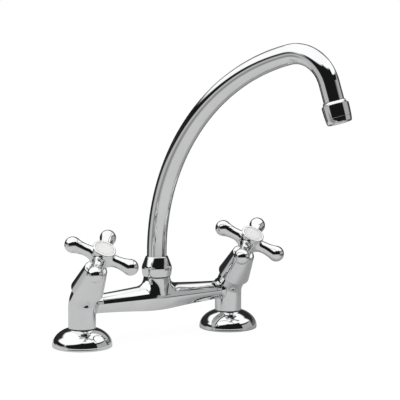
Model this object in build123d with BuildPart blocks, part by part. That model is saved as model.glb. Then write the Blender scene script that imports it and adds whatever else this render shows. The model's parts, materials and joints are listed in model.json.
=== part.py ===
"""Bridge kitchen faucet: two leaning pillar valves, a bridge and a swan-neck spout.

Millimetres. The origin is on the deck, midway between the two pillars. +X runs along the
bridge to the right-hand pillar, -Y is the front, where the user stands, and +Z is up.
The spout is swung a little to the right, and both valves are shut.
"""
import os
from math import atan2, cos, radians, sin, sqrt

from build123d import *

os.makedirs("parts", exist_ok=True)

# ---------------------------------------------------------------- overall sizes
pillar_spacing = 180.0      # from one tail centre to the other
deck_thickness = 18.0       # sheet held between the gaskets and the washers under it
bridge_height = 41.8        # bridge axis above the deck
elbow_above_bridge = 2.9    # leg axis and valve axis meet this far over the bridge axis
valve_tilt = 36.4           # degrees that the valve axis leans forward
spout_swing = 18.0          # degrees from straight ahead to where the spout rests
left_handle_turn = -38.9    # degrees from +X to the first arm of the left handle
right_handle_turn = -46.3

# ---------------------------------------------------------------- clearances
screwed_gap = 0.10          # radial, between pieces that are screwed or pushed together
running_gap = 0.08          # radial, between a shaft and the bore that it turns in
turning_gap = 0.30          # between faces that pass each other as something turns
disc_gap = 0.05             # between the lapped discs, and round small rings
groove_gap = 0.2            # a seal's groove is wider than the seal by this share

# ---------------------------------------------------------------- flange, gasket and tail
flange_radius = 30.5
flange_rim_height = 1.6
flange_rim_rounding = 0.5
flange_step = 0.9           # the dome springs this far inside the rim
dome_height = 16.7          # from the rim's top to the leg
flange_wall = 1.6
gasket_thickness = 1.5
foot_overhang = 5.5         # the foot stands out round the leg
foot_height = 4.5
tail_radius = 10.48         # half-inch pipe thread
tail_bore_radius = 7.5
tail_socket_depth = 13.0    # the tail screws this far into the pillar
thread_to_spare = 4.0       # bare thread between the backnut and the relief
tail_relief_depth = 0.6
tail_relief_width = 1.0
tail_free_length = 21.0     # bare thread at the bottom, for the supply connector
tail_chamfer = 1.0
washer_overhang = 6.52      # the deck washer stands out round the tail
washer_thickness = 2.0
backnut_wall = 3.42         # from the thread to the middle of a flat
backnut_height = 7.0
backnut_chamfer = 1.2
backnut_chamfer_slope = 12.0  # degrees

# ---------------------------------------------------------------- pillar
leg_radius = 14.0
elbow_bend = 20.0           # centreline radius
leg_bore_radius = 7.0
leg_port_radius = 4.2
pillar_top = 22.0           # top face, along the valve axis from the elbow point
chamber_floor = 2.0
leg_web = 2.0               # metal between the leg's bore and the valve chamber
stub_length = 6.0           # the stub stands out this far from the leg
stub_radius = 9.8
stub_flare = 4.0
stub_flare_turn = 70.0      # degrees
stub_flare_start = 1.0      # the flare starts this far from the leg
stub_web = 1.5              # metal between the stub's bore and the valve chamber
cross_port_radius = 4.0
cross_port_forward = 2.5    # of the bridge's axis
cross_port_end = 6.0        # from the pillar's middle

# ---------------------------------------------------------------- bridge
shoulder_run = 4.2          # the bridge's taper ends this far out from the boss
shoulder_step = 0.5         # and is this much slimmer there than the boss, in radius
arm_waist_sag = 0.25        # how far the taper curves in
bridge_bore_radius = 6.5
riser_port_radius = 5.8     # up from the bridge's bore into the spout socket
spigot_wall = 1.1
spigot_length = 5.0

# ---------------------------------------------------------------- spout
tube_radius = 10.15
tube_wall = 1.2
riser_above_nut = 2.4       # the straight part of the tube ends this far over the nut
arch_radius = 216.0
arch_turn = 76.3            # degrees
hook_radius = 39.0
outlet_lean = 18.6          # degrees that the outlet points away from straight down
outlet_straight = 18.6      # from the end of the hook to the top of the ferrule
collar_overhang = 1.5       # the collar's flange stands out over the socket's bore
collar_flange_thickness = 2.0
collar_bore_radius = 6.8
collar_plug_length = 10.0
collar_lift = 1.0           # over the socket's floor
spout_seal_places = (0.3, 0.7)  # shares of the socket's depth
spout_seal_section = 0.85

# ---------------------------------------------------------------- spout socket and its nut
socket_step = 0.15          # the socket's bore is this much wider than the tube, in radius
socket_wall = 2.35          # out to the thread
socket_floor_rise = 8.2     # over the bridge axis
boss_step = 1.15            # the boss stands out round the thread
boss_rise = 8.2             # over the bridge's shoulders
boss_fillet = 4.0
thread_length = 8.7
nut_foot_overhang = 0.8     # the nut's foot stands out over the boss
nut_belly = 0.9             # and its belly over its foot
nut_belly_rise = 2.0        # over the top of the thread
nut_shoulder_step = 0.5
nut_shoulder_rise = 1.7
nut_lip_wall = 0.55
nut_lip_height = 8.1        # over the cavity that traps the bush
bush_thickness = 1.6
nut_edge = 0.5              # chamfer round the nut's foot
nut_swell = 0.25            # how far its side curves out
nut_lip_chamfer = (0.3, 0.9)

# ---------------------------------------------------------------- outlet
ferrule_neck_wall = 0.85
ferrule_flare = 2.3
ferrule_shoulder = 3.2
ferrule_shoulder_edge = 0.4
ferrule_edge = 0.2
ferrule_length = 16.4
ferrule_foot_step = 0.55
ferrule_foot_wall = 1.55
ferrule_thread_depth = 7.5
tube_seat_depth = 8.0
outlet_ring_length = 4.6
outlet_ring_step = 0.1      # inside the ferrule's foot
outlet_ring_draw_in = 0.65  # from its top to its foot
outlet_ring_lean = 4.0      # degrees that its side leans in at the top
outlet_ring_wall = 1.6
outlet_ledge = 1.0
outlet_ledge_thickness = 1.4
outlet_ring_edge = 0.3
outlet_washer_lip = 1.5     # the washer's hole is this much smaller than the tube's bore
outlet_washer_thickness = 1.4
insert_length = 6.5
insert_hole_radius = 0.9
insert_hole_pitch = 3.1
insert_hole_rings = 2

# ---------------------------------------------------------------- valve cover
cover_overlap = 4.8         # the cover's rim hangs this far below the pillar's top
cover_lip = 1.4             # and stands this far off the leg
cover_wall = 1.5
cover_length = 32.1
cover_narrowing = 5.5       # from bottom radius to top radius
cover_rounding = 3.6
cover_rim_rounding = 0.5
rounding_share = 0.9        # of the wall that it rounds, at most
cover_roof = 4.3
nose_radius = 6.8

# ---------------------------------------------------------------- valve body and discs
seal_thickness = 1.8
seal_bore_radius = 4.6
disc_radius = 8.3
disc_side_gap = 0.2
disc_thickness = 2.8
disc_port_radius = 2.5
disc_port_offset = 4.6
barrel_wall = 2.0
barrel_headroom = 2.85
body_flange_inset = 1.0     # inside the leg's outline
body_flange_thickness = 2.0
body_hex_height = 6.0
body_hex_gap = 1.08         # from its corners to the cover
neck_shoulder = 2.2         # ledge that the cover sits on
nose_inset = 0.7            # under the cover's top
window_width = 7.0
window_height = 2.8

# ---------------------------------------------------------------- spindle
spindle_radius = 4.0
spindle_square = 6.6        # across the four flats that drive the handle
foot_disc_radius = 7.6
foot_disc_thickness = 2.0
tongue_width = 3.0
tongue_length = 10.0
tongue_depth = 1.4
lower_seal_below = 15.3     # under the cover's top
upper_seal_below = 10.3
spindle_seal_section = 0.55
clip_thickness = 0.7
clip_overhang = 1.4
clip_groove_depth = 0.9
clip_opening = 0.8          # as a share of the groove's diameter

# ---------------------------------------------------------------- cross handle
handle_gap = 0.8            # from the cover's top to the skirt
skirt_radius = 7.6
skirt_wall = 1.5
skirt_cavity_depth = 3.3
skirt_waist = (0.25, 2.2)   # in from the skirt's radius, and up from its foot
skirt_flare = (0.8, 5.1)    # out from the skirt's radius, and up from its foot
hub_spread = 2.55           # rise over which the flare opens into the hub
hub_web = 2.315             # metal between neighbouring arms
hub_draft = 0.5             # the hub's side leans in this much from top to foot
hub_edge = 0.3              # flat between an arm's fillet and the hub's top
hub_fillet = 1.2
arm_reach = 30.5            # from the valve axis to the middle of a ball
ball_radius = 8.25
arm_neck_radius = 6.0
arm_neck_at = 17.0
spindle_above_arms = 0.95
handle_floor = 1.2          # metal under the screw's head
screw_radius = 2.0
screw_head_radius = 3.6
screw_head_gap = 0.6        # radial
screw_tip_gap = 1.0         # under the screw, in the spindle's bore
screw_head_height = 2.4
screw_length = 12.0
screw_slot = 0.9

# ---------------------------------------------------------------- handle cap and its disc
cap_overhang = 1.0
cap_thickness = 3.2
cap_edge = 0.9
cap_spigot_radius = 7.4
cap_spigot_length = 2.0
cap_floor = 1.2
cap_ring_width = 3.1        # from the disc's well to the cap's edge
cap_well_chamfer = 0.5
index_sink = 0.7            # the disc's edge lies this far under the cap's top
index_dome = 0.5

# ---------------------------------------------------------------- values worked out
tilt = radians(valve_tilt)
valve_direction = (0, -sin(tilt), cos(tilt))
swing = radians(spout_swing)
spout_forward = (sin(swing), -cos(swing), 0)
spout_across = (cos(swing), sin(swing), 0)
elbow_height = bridge_height + elbow_above_bridge
foot_bottom = gasket_thickness
foot_radius = leg_radius + foot_overhang
flange_hole_radius = leg_radius + screwed_gap
dome_spring = flange_radius - flange_step
dome_run = dome_spring - flange_hole_radius
dome_radius = (dome_height**2 + dome_run**2) / (2 * dome_run)
washer_top = -deck_thickness
washer_radius = tail_radius + washer_overhang
backnut_top = washer_top - washer_thickness
tail_top = foot_bottom + tail_socket_depth
relief_bottom = backnut_top - backnut_height - thread_to_spare
tail_bottom = relief_bottom - tail_free_length
spigot_radius = bridge_bore_radius + spigot_wall
stub_end = pillar_spacing / 2 - leg_radius - stub_length

# Spout socket, from the tube outwards and from the bridge upwards.
socket_bore_radius = tube_radius + socket_step
socket_thread_radius = socket_bore_radius + socket_wall
boss_radius = socket_thread_radius + boss_step
arm_shoulder = boss_radius + shoulder_run
arm_shoulder_radius = boss_radius - shoulder_step
nut_foot_radius = boss_radius + nut_foot_overhang
nut_belly_radius = nut_foot_radius + nut_belly
nut_shoulder_radius = nut_belly_radius - nut_shoulder_step
nut_lip_radius = tube_radius + turning_gap + nut_lip_wall
socket_floor = bridge_height + socket_floor_rise
boss_top = bridge_height + arm_shoulder_radius + boss_rise
socket_top = boss_top + thread_length
collar_seat = socket_top + turning_gap
tube_bottom = collar_seat + collar_flange_thickness
nut_roof = tube_bottom + turning_gap + bush_thickness
nut_top = nut_roof + nut_lip_height
nut_belly_height = socket_top + nut_belly_rise
nut_shoulder_height = nut_belly_height + nut_shoulder_rise
riser_top = nut_top + riser_above_nut
collar_flange_radius = socket_bore_radius + collar_overhang

# Outlet, from the tube outwards and back in again.
ferrule_neck_radius = tube_radius + ferrule_neck_wall
ferrule_radius = ferrule_neck_radius + ferrule_flare
ferrule_foot_radius = ferrule_radius - ferrule_foot_step
ferrule_thread_radius = ferrule_foot_radius - ferrule_foot_wall
outlet_ring_radius = ferrule_foot_radius - outlet_ring_step
outlet_ring_foot_radius = outlet_ring_radius - outlet_ring_draw_in
outlet_bore_radius = ferrule_thread_radius - outlet_ring_wall

# Valve, up its own axis from the elbow point.
disc_seat = chamber_floor + seal_thickness
moving_disc_seat = disc_seat + disc_thickness + disc_gap
spindle_foot = moving_disc_seat + disc_thickness + turning_gap
barrel_bore_radius = disc_radius + disc_side_gap
barrel_bore_top = spindle_foot + foot_disc_thickness + barrel_headroom
chamber_radius = barrel_bore_radius + barrel_wall + screwed_gap
cover_bottom = pillar_top - cover_overlap
cover_bottom_radius = leg_radius + cover_lip + cover_wall
cover_top = cover_bottom + cover_length
cover_top_radius = cover_bottom_radius - cover_narrowing
cover_slope = cover_narrowing / cover_length
cover_seat = cover_top - cover_roof
body_flange_radius = leg_radius - body_flange_inset
body_hex_top = pillar_top + body_flange_thickness + body_hex_height
neck_radius = nose_radius + neck_shoulder
nose_top = cover_top - nose_inset
clip_seat = nose_top + turning_gap
clip_radius = spindle_radius + clip_overhang
clip_groove_radius = spindle_radius - clip_groove_depth
spindle_seal_heights = (cover_top - lower_seal_below, cover_top - upper_seal_below)

# Handle, from the cover's top upwards.
skirt_bottom = cover_top + handle_gap
skirt_cavity_top = skirt_bottom + skirt_cavity_depth
skirt_cavity_radius = skirt_radius - skirt_wall
hub_clear = arm_neck_radius + hub_fillet + hub_edge
hub_foot = skirt_bottom + skirt_flare[1] + hub_spread
hub_height = hub_foot + hub_clear
hub_top = hub_height + hub_clear
hub_top_radius = arm_neck_radius * sqrt(2) + hub_web
spindle_top = hub_height + spindle_above_arms
drive_bottom = skirt_cavity_top - turning_gap
head_seat = spindle_top + handle_floor
cap_radius = hub_top_radius + cap_overhang
cap_top = hub_top + cap_thickness
index_radius = cap_radius - cap_ring_width - screwed_gap
index_floor = hub_top + cap_floor


def elbow_point(x):
    """Where the leg's axis and the valve's axis meet."""
    return Vector(x, 0, elbow_height)


def along_valve(x, height):
    """Plane square to the valve axis, its height measured from the elbow point."""
    return Plane(
        origin=elbow_point(x) + Vector(*valve_direction) * height,
        x_dir=(1, 0, 0),
        z_dir=valve_direction,
    )


def profile_plane(origin, direction):
    """Plane to draw a turned profile in: its local Y is the axis, local X the radius."""
    return Plane(origin=origin, x_dir=(1, 0, 0), z_dir=Vector(1, 0, 0).cross(Vector(*direction)))


def valve_profile(x):
    return profile_plane(elbow_point(x), valve_direction)


def valve_axis(x):
    return Axis(elbow_point(x), valve_direction)


def upright_profile(x):
    return profile_plane((x, 0, 0), (0, 0, 1))


def upright_axis(x):
    return Axis((x, 0, 0), (0, 0, 1))


def finish(built, name):
    """Label a piece and write its file."""
    built.part.label = name
    export_step(built.part, f"parts/{name}.step")


# ================================================================ under and on the deck
def dome_point(centre_r, radius):
    """Where an arc of the dome meets the hole for the leg."""
    rise = sqrt(radius**2 - (flange_hole_radius - centre_r) ** 2)
    return (flange_hole_radius, flange_rim_height + rise)


def make_flange(side, x):
    """Domed cover: it stands on the deck round the pillar's foot."""
    centre_r = dome_spring - dome_radius
    with BuildPart() as flange:
        with BuildSketch(upright_profile(x)) as section:
            with BuildLine():
                Polyline(
                    (flange_radius - flange_wall, flange_rim_height),
                    (flange_radius - flange_wall, 0),
                    (flange_radius, 0),
                    (flange_radius, flange_rim_height),
                    (dome_spring, flange_rim_height),
                )
                outer_top = dome_point(centre_r, dome_radius)
                TangentArc((dome_spring, flange_rim_height), outer_top, tangent=(0, 1))
                inner_top = dome_point(centre_r, dome_radius - flange_wall)
                Line(outer_top, inner_top)
                TangentArc(
                    (dome_spring - flange_wall, flange_rim_height), inner_top, tangent=(0, 1)
                )
                Line(
                    (dome_spring - flange_wall, flange_rim_height),
                    (flange_radius - flange_wall, flange_rim_height),
                )
            make_face()
            rim_corner = (flange_radius, flange_rim_height)
            fillet(section.vertices().sort_by_distance(rim_corner)[0], flange_rim_rounding)
        revolve(axis=upright_axis(x))
    finish(flange, f"{side}_flange")


def make_gasket(side, x):
    """Rubber ring between the pillar's foot and the deck."""
    with BuildPart() as gasket:
        with BuildSketch(Plane((x, 0, 0))):
            Circle(foot_radius)
            Circle(tail_radius + turning_gap, mode=Mode.SUBTRACT)
        extrude(amount=gasket_thickness)
    finish(gasket, f"{side}_gasket")


def make_tail(side, x):
    """Hollow threaded shank that goes down through the deck."""
    with BuildPart() as tail:
        with BuildSketch(Plane((x, 0, tail_bottom))):
            Circle(tail_radius)
            Circle(tail_bore_radius, mode=Mode.SUBTRACT)
        extrude(amount=tail_top - tail_bottom)
        with BuildSketch(Plane((x, 0, relief_bottom))):
            Circle(tail_radius)
            Circle(tail_radius - tail_relief_depth, mode=Mode.SUBTRACT)
        extrude(amount=tail_relief_width, mode=Mode.SUBTRACT)
        bottom_edges = tail.edges().filter_by(GeomType.CIRCLE).sort_by(Axis.Z)[:2]
        chamfer(bottom_edges.sort_by(SortBy.RADIUS)[-1], tail_chamfer)
    finish(tail, f"{side}_tail")


def make_deck_washer(side, x):
    with BuildPart() as washer:
        with BuildSketch(Plane((x, 0, backnut_top))):
            Circle(washer_radius)
            Circle(tail_radius + turning_gap, mode=Mode.SUBTRACT)
        extrude(amount=washer_thickness)
    finish(washer, f"{side}_deck_washer")


def make_backnut(side, x):
    """Hexagon nut that pulls the pillar down on the deck."""
    hex_radius = tail_radius + screwed_gap + backnut_wall
    with BuildPart() as backnut:
        with BuildSketch(Plane((x, 0, backnut_top))):
            RegularPolygon(hex_radius, 6, major_radius=False)
        extrude(amount=-backnut_height)
        with BuildSketch(Plane((x, 0, backnut_top))):
            Circle(hex_radius + backnut_chamfer)
        extrude(amount=-backnut_height, taper=-backnut_chamfer_slope, mode=Mode.INTERSECT)
        with BuildSketch(Plane((x, 0, backnut_top))):
            Circle(tail_radius + screwed_gap)
        extrude(amount=-backnut_height, mode=Mode.SUBTRACT)
    finish(backnut, f"{side}_backnut")


# ================================================================ pillars and bridge
def make_pillar(side, x):
    """Foot, leg, elbow and valve chamber, with a stub that takes the bridge."""
    inward = -1 if x > 0 else 1
    top_forward = pillar_top * sin(tilt)
    top_height = elbow_height + pillar_top * cos(tilt)
    stub_face = Plane(
        origin=(-inward * stub_end, 0, bridge_height), x_dir=(0, -inward, 0), z_dir=(-inward, 0, 0)
    )
    with BuildPart() as pillar:
        with BuildLine(Plane(origin=(x, 0, 0), x_dir=(0, -1, 0), z_dir=(-1, 0, 0))) as leg_line:
            FilletPolyline(
                (0, foot_bottom), (0, elbow_height), (top_forward, top_height), radius=elbow_bend
            )
        with BuildSketch(Plane((x, 0, foot_bottom))):
            Circle(leg_radius)
        sweep(path=leg_line.line)
        with BuildSketch(Plane((x, 0, foot_bottom))):
            Circle(foot_radius)
        extrude(amount=foot_height)
        # Stub towards the bridge, flared where it meets the leg.
        flare_start = abs(x) - leg_radius - stub_flare_start
        flare_x = flare_start + stub_flare * sin(radians(stub_flare_turn))
        flare_r = stub_radius + stub_flare * (1 - cos(radians(stub_flare_turn)))
        with BuildSketch(Plane(origin=(0, 0, bridge_height), x_dir=(-inward, 0, 0), z_dir=(0, inward, 0))):
            with BuildLine():
                Line((stub_end, 0), (stub_end, stub_radius))
                Line((stub_end, stub_radius), (flare_start, stub_radius))
                JernArc((flare_start, stub_radius), (1, 0), stub_flare, stub_flare_turn)
                Line((flare_x, flare_r), (flare_x, 0))
                Line((flare_x, 0), (stub_end, 0))
            make_face()
        revolve(axis=Axis((0, 0, bridge_height), (1, 0, 0)))
        # Tail socket, water way, valve chamber and the port to the bridge.
        with BuildSketch(Plane((x, 0, foot_bottom))):
            Circle(tail_radius + screwed_gap)
        extrude(amount=tail_socket_depth, mode=Mode.SUBTRACT)
        with BuildSketch(Plane((x, 0, foot_bottom))):
            Circle(leg_bore_radius)
        extrude(amount=elbow_height - foot_bottom - leg_bore_radius - leg_web, mode=Mode.SUBTRACT)
        with BuildSketch(Plane((x, 0, elbow_height / 2))):
            Circle(leg_port_radius)
        extrude(amount=elbow_height / 2 + chamber_floor + leg_port_radius, mode=Mode.SUBTRACT)
        with BuildSketch(along_valve(x, chamber_floor)):
            Circle(chamber_radius)
        extrude(amount=pillar_top, mode=Mode.SUBTRACT)
        with BuildSketch(stub_face):
            Circle(bridge_bore_radius)
        extrude(amount=abs(x) - stub_end - chamber_radius - stub_web, mode=Mode.SUBTRACT)
        with BuildSketch(stub_face):
            Circle(spigot_radius + screwed_gap)
        extrude(amount=spigot_length + screwed_gap, mode=Mode.SUBTRACT)
        with BuildSketch(stub_face.offset(spigot_length)):
            with Locations((cross_port_forward * inward, bridge_bore_radius)):
                Circle(cross_port_radius)
        extrude(amount=abs(x) - stub_end - spigot_length - cross_port_end, mode=Mode.SUBTRACT)
    finish(pillar, f"{side}_pillar")


def make_bridge():
    """Tapered cross tube with a spigot at each end and the upright spout socket."""
    waist_x = (stub_end + arm_shoulder) / 2
    waist_r = (stub_radius + arm_shoulder_radius) / 2 - arm_waist_sag
    with BuildPart() as bridge:
        # The profile is drawn under the axis, so its seam stays clear of the saddle.
        with BuildSketch(Plane(origin=(0, 0, bridge_height), x_dir=(1, 0, 0), z_dir=(0, 1, 0))):
            with BuildLine():
                left = ThreePointArc(
                    (-stub_end, stub_radius), (-waist_x, waist_r), (-arm_shoulder, arm_shoulder_radius)
                )
                TangentArc(left @ 1, (arm_shoulder, arm_shoulder_radius), tangent=left % 1)
                ThreePointArc(
                    (arm_shoulder, arm_shoulder_radius), (waist_x, waist_r), (stub_end, stub_radius)
                )
                Polyline(
                    (stub_end, stub_radius),
                    (stub_end, spigot_radius),
                    (stub_end + spigot_length, spigot_radius),
                    (stub_end + spigot_length, 0),
                    (-stub_end - spigot_length, 0),
                    (-stub_end - spigot_length, spigot_radius),
                    (-stub_end, spigot_radius),
                    (-stub_end, stub_radius),
                )
            make_face()
        revolve(axis=Axis((0, 0, bridge_height), (1, 0, 0)))
        with BuildSketch(Plane.XY.offset(bridge_height)):
            Circle(boss_radius)
        extrude(amount=boss_top - bridge_height)
        saddle = bridge.edges().filter_by(lambda e: e.geom_type not in (GeomType.CIRCLE, GeomType.LINE))
        fillet(saddle, boss_fillet)
        with BuildSketch(Plane.XY.offset(boss_top)):
            Circle(socket_thread_radius)
        extrude(amount=socket_top - boss_top)
        with BuildSketch(Plane.XY.offset(socket_floor)):
            Circle(socket_bore_radius)
        extrude(amount=socket_top - socket_floor, mode=Mode.SUBTRACT)
        with BuildSketch(Plane.XY.offset(bridge_height)):
            Circle(riser_port_radius)
        extrude(amount=socket_floor - bridge_height, mode=Mode.SUBTRACT)
        with BuildSketch(Plane.YZ.offset(-stub_end - spigot_length)):
            with Locations((0, bridge_height)):
                Circle(bridge_bore_radius)
        extrude(amount=2 * (stub_end + spigot_length), mode=Mode.SUBTRACT)
    finish(bridge, "bridge")


# ================================================================ spout socket hardware
def make_spout_nut():
    """Smooth round nut: it screws on the bridge's socket and holds the spout down."""
    thread_r = socket_thread_radius + screwed_gap
    hole_r = tube_radius + turning_gap
    foot = boss_top + screwed_gap
    cone_top = (nut_lip_radius + nut_lip_chamfer[0], nut_top - nut_lip_chamfer[1])
    with BuildPart() as nut:
        with BuildSketch(upright_profile(0)):
            with BuildLine():
                Line((thread_r, foot), (nut_foot_radius - nut_edge, foot))
                Line((nut_foot_radius - nut_edge, foot), (nut_foot_radius, foot + nut_edge))
                belly = ThreePointArc(
                    (nut_foot_radius, foot + nut_edge),
                    ((nut_foot_radius + nut_belly_radius) / 2 + nut_swell, (foot + nut_belly_height) / 2),
                    (nut_belly_radius, nut_belly_height),
                )
                TangentArc(belly @ 1, (nut_shoulder_radius, nut_shoulder_height), tangent=belly % 1)
                Line((nut_shoulder_radius, nut_shoulder_height), cone_top)
                Line(cone_top, (nut_lip_radius, nut_top))
                Polyline(
                    (nut_lip_radius, nut_top),
                    (hole_r, nut_top),
                    (hole_r, nut_roof),
                    (thread_r, nut_roof),
                    (thread_r, foot),
                )
            make_face()
        revolve(axis=upright_axis(0))
    finish(nut, "spout_nut")


def make_spout_bush():
    """Slippery plastic ring between the turning collar and the nut."""
    with BuildPart() as bush:
        with BuildSketch(Plane.XY.offset(nut_roof - bush_thickness)):
            Circle(socket_thread_radius)
            Circle(tube_radius + turning_gap, mode=Mode.SUBTRACT)
        extrude(amount=bush_thickness - disc_gap)
    finish(bush, "spout_bush")


# ================================================================ spout
def spout_line():
    """Centreline from the collar to the ferrule, in the spout's own plane."""
    across = Vector(*spout_across)
    with BuildLine(Plane(origin=(0, 0, 0), x_dir=spout_forward, z_dir=-across)) as line:
        riser = Line((0, tube_bottom), (0, riser_top))
        arch = JernArc(riser @ 1, riser % 1, arch_radius, -arch_turn)
        hook = JernArc(arch @ 1, arch % 1, hook_radius, arch_turn + outlet_lean - 180)
        Line(hook @ 1, hook @ 1 + (hook % 1) * (outlet_straight + tube_seat_depth))
    return line


def outlet_plane(line, distance):
    """Plane square to the outlet, its Z pointing out with the water."""
    end = line.line @ 1
    out = line.line % 1
    return Plane(origin=end + out * (distance - tube_seat_depth), x_dir=spout_across, z_dir=out)


def make_spout_tube(line):
    with BuildPart() as tube:
        with BuildSketch(Plane.XY.offset(tube_bottom)):
            Circle(tube_radius)
            Circle(tube_radius - tube_wall, mode=Mode.SUBTRACT)
        sweep(path=line.line)
    finish(tube, "spout_tube")


def make_spout_collar():
    """Turned brass end of the spout: it turns in the bridge's socket on two seals."""
    barrel_r = socket_bore_radius - running_gap
    barrel_bottom = socket_floor + collar_lift
    groove_r = barrel_r - 2 * spout_seal_section
    with BuildPart() as collar:
        with BuildSketch(Plane.XY.offset(barrel_bottom)):
            Circle(barrel_r)
        extrude(amount=collar_seat - barrel_bottom)
        with BuildSketch(Plane.XY.offset(collar_seat)):
            Circle(collar_flange_radius)
        extrude(amount=collar_flange_thickness)
        with BuildSketch(Plane.XY.offset(tube_bottom)):
            Circle(tube_radius - tube_wall - screwed_gap)
        extrude(amount=collar_plug_length)
        for height in spout_seal_heights():
            with BuildSketch(Plane.XY.offset(height)):
                Circle(barrel_r)
                Circle(groove_r, mode=Mode.SUBTRACT)
            extrude(amount=spout_seal_section * (1 + groove_gap), both=True, mode=Mode.SUBTRACT)
        with BuildSketch(Plane.XY.offset(barrel_bottom)):
            Circle(collar_bore_radius)
        extrude(amount=tube_bottom + collar_plug_length - barrel_bottom, mode=Mode.SUBTRACT)
    finish(collar, "spout_collar")


def spout_seal_heights():
    return [socket_floor + (socket_top - socket_floor) * share for share in spout_seal_places]


def make_spout_seals():
    """Two rubber rings in the collar's grooves."""
    ring_r = socket_bore_radius - running_gap - spout_seal_section
    with BuildPart() as seals:
        for height in spout_seal_heights():
            with BuildSketch(upright_profile(0)):
                with Locations((ring_r, height)):
                    Circle(spout_seal_section - disc_gap)
            revolve(axis=upright_axis(0))
    finish(seals, "spout_seals")


def make_spout_ferrule(line):
    """Bell at the end of the tube: it takes the tube above and the outlet ring below."""
    frame = outlet_plane(line, 0)
    profile = Plane(origin=frame.origin, x_dir=frame.x_dir, z_dir=frame.x_dir.cross(frame.z_dir))
    tube_r = tube_radius + screwed_gap
    thread_top = ferrule_length - ferrule_thread_depth
    way_r = tube_radius - tube_wall
    shoulder_r = ferrule_radius - ferrule_shoulder_edge
    side_top = (ferrule_radius, ferrule_shoulder + ferrule_shoulder_edge)
    with BuildPart() as ferrule:
        with BuildSketch(profile):
            with BuildLine():
                Line((tube_r, 0), (ferrule_neck_radius, 0))
                TangentArc((ferrule_neck_radius, 0), (shoulder_r, ferrule_shoulder), tangent=(0, 1))
                Line((shoulder_r, ferrule_shoulder), side_top)
                TangentArc(side_top, (ferrule_foot_radius, ferrule_length - ferrule_edge), tangent=(0, 1))
                Polyline(
                    (ferrule_foot_radius, ferrule_length - ferrule_edge),
                    (ferrule_foot_radius - ferrule_edge, ferrule_length),
                    (ferrule_thread_radius, ferrule_length),
                    (ferrule_thread_radius, thread_top),
                    (way_r, thread_top),
                    (way_r, tube_seat_depth),
                    (tube_r, tube_seat_depth),
                    (tube_r, 0),
                )
            make_face()
        revolve(axis=Axis(frame.origin, frame.z_dir))
    finish(ferrule, "spout_ferrule")


def make_aerator_ring(line):
    """Metal ring screwed into the ferrule: it holds the flow insert."""
    frame = outlet_plane(line, 0)
    profile = Plane(origin=frame.origin, x_dir=frame.x_dir, z_dir=frame.x_dir.cross(frame.z_dir))
    thread_r = ferrule_thread_radius - screwed_gap
    thread_top = ferrule_length - ferrule_thread_depth + outlet_washer_thickness
    seat = ferrule_length + screwed_gap
    foot = seat + outlet_ring_length
    ledge_r = outlet_bore_radius - outlet_ledge
    ledge_top = foot - outlet_ledge_thickness
    lean = radians(outlet_ring_lean)
    with BuildPart() as ring:
        with BuildSketch(profile):
            with BuildLine():
                Polyline(
                    (outlet_bore_radius, thread_top),
                    (thread_r, thread_top),
                    (thread_r, seat),
                    (outlet_ring_radius, seat),
                )
                TangentArc(
                    (outlet_ring_radius, seat),
                    (outlet_ring_foot_radius, foot - outlet_ring_edge),
                    tangent=(-sin(lean), cos(lean)),
                )
                Polyline(
                    (outlet_ring_foot_radius, foot - outlet_ring_edge),
                    (outlet_ring_foot_radius - outlet_ring_edge, foot),
                    (ledge_r, foot),
                    (ledge_r, ledge_top),
                    (outlet_bore_radius, ledge_top),
                    (outlet_bore_radius, thread_top),
                )
            make_face()
        revolve(axis=Axis(frame.origin, frame.z_dir))
    finish(ring, "aerator_ring")


def make_aerator_insert(line):
    """Plastic flow straightener with rings of holes."""
    foot = ferrule_length + screwed_gap + outlet_ring_length - outlet_ledge_thickness
    with BuildPart() as insert:
        with BuildSketch(outlet_plane(line, foot - insert_length)):
            Circle(outlet_bore_radius - screwed_gap)
            Circle(insert_hole_radius, mode=Mode.SUBTRACT)
            for ring in range(1, insert_hole_rings + 1):
                with PolarLocations(ring * insert_hole_pitch, 6 * ring):
                    Circle(insert_hole_radius, mode=Mode.SUBTRACT)
        extrude(amount=insert_length)
    finish(insert, "aerator_insert")


def make_aerator_washer(line):
    with BuildPart() as washer:
        with BuildSketch(outlet_plane(line, ferrule_length - ferrule_thread_depth)):
            Circle(ferrule_thread_radius - screwed_gap)
            Circle(tube_radius - tube_wall - outlet_washer_lip, mode=Mode.SUBTRACT)
        extrude(amount=outlet_washer_thickness)
    finish(washer, "aerator_washer")


# ================================================================ valve pieces that stay still
def inside_cover(height):
    """Radius of the space inside the valve cover at a height on the valve axis."""
    return cover_bottom_radius - cover_wall - cover_slope * (height - cover_bottom)


def make_cover(side, x):
    """Conical cover over the valve body, open at the bottom, with a rounded top."""
    hole_r = nose_radius + screwed_gap
    rounding = min(cover_rounding, rounding_share * (cover_top_radius - hole_r), rounding_share * cover_roof)
    with BuildPart() as cover:
        with BuildSketch(valve_profile(x)) as section:
            with BuildLine():
                Polyline(
                    (hole_r, cover_seat),
                    (hole_r, cover_top),
                    (cover_top_radius, cover_top),
                    (cover_bottom_radius, cover_bottom),
                    (inside_cover(cover_bottom), cover_bottom),
                    (inside_cover(cover_seat), cover_seat),
                    (hole_r, cover_seat),
                )
            make_face()
            top_corner = (cover_top_radius, cover_top)
            fillet(section.vertices().sort_by_distance(top_corner)[0], rounding)
            rim_corner = (cover_bottom_radius, cover_bottom)
            fillet(section.vertices().sort_by_distance(rim_corner)[0], cover_rim_rounding)
        revolve(axis=valve_axis(x))
    finish(cover, f"{side}_valve_cover")


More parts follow.
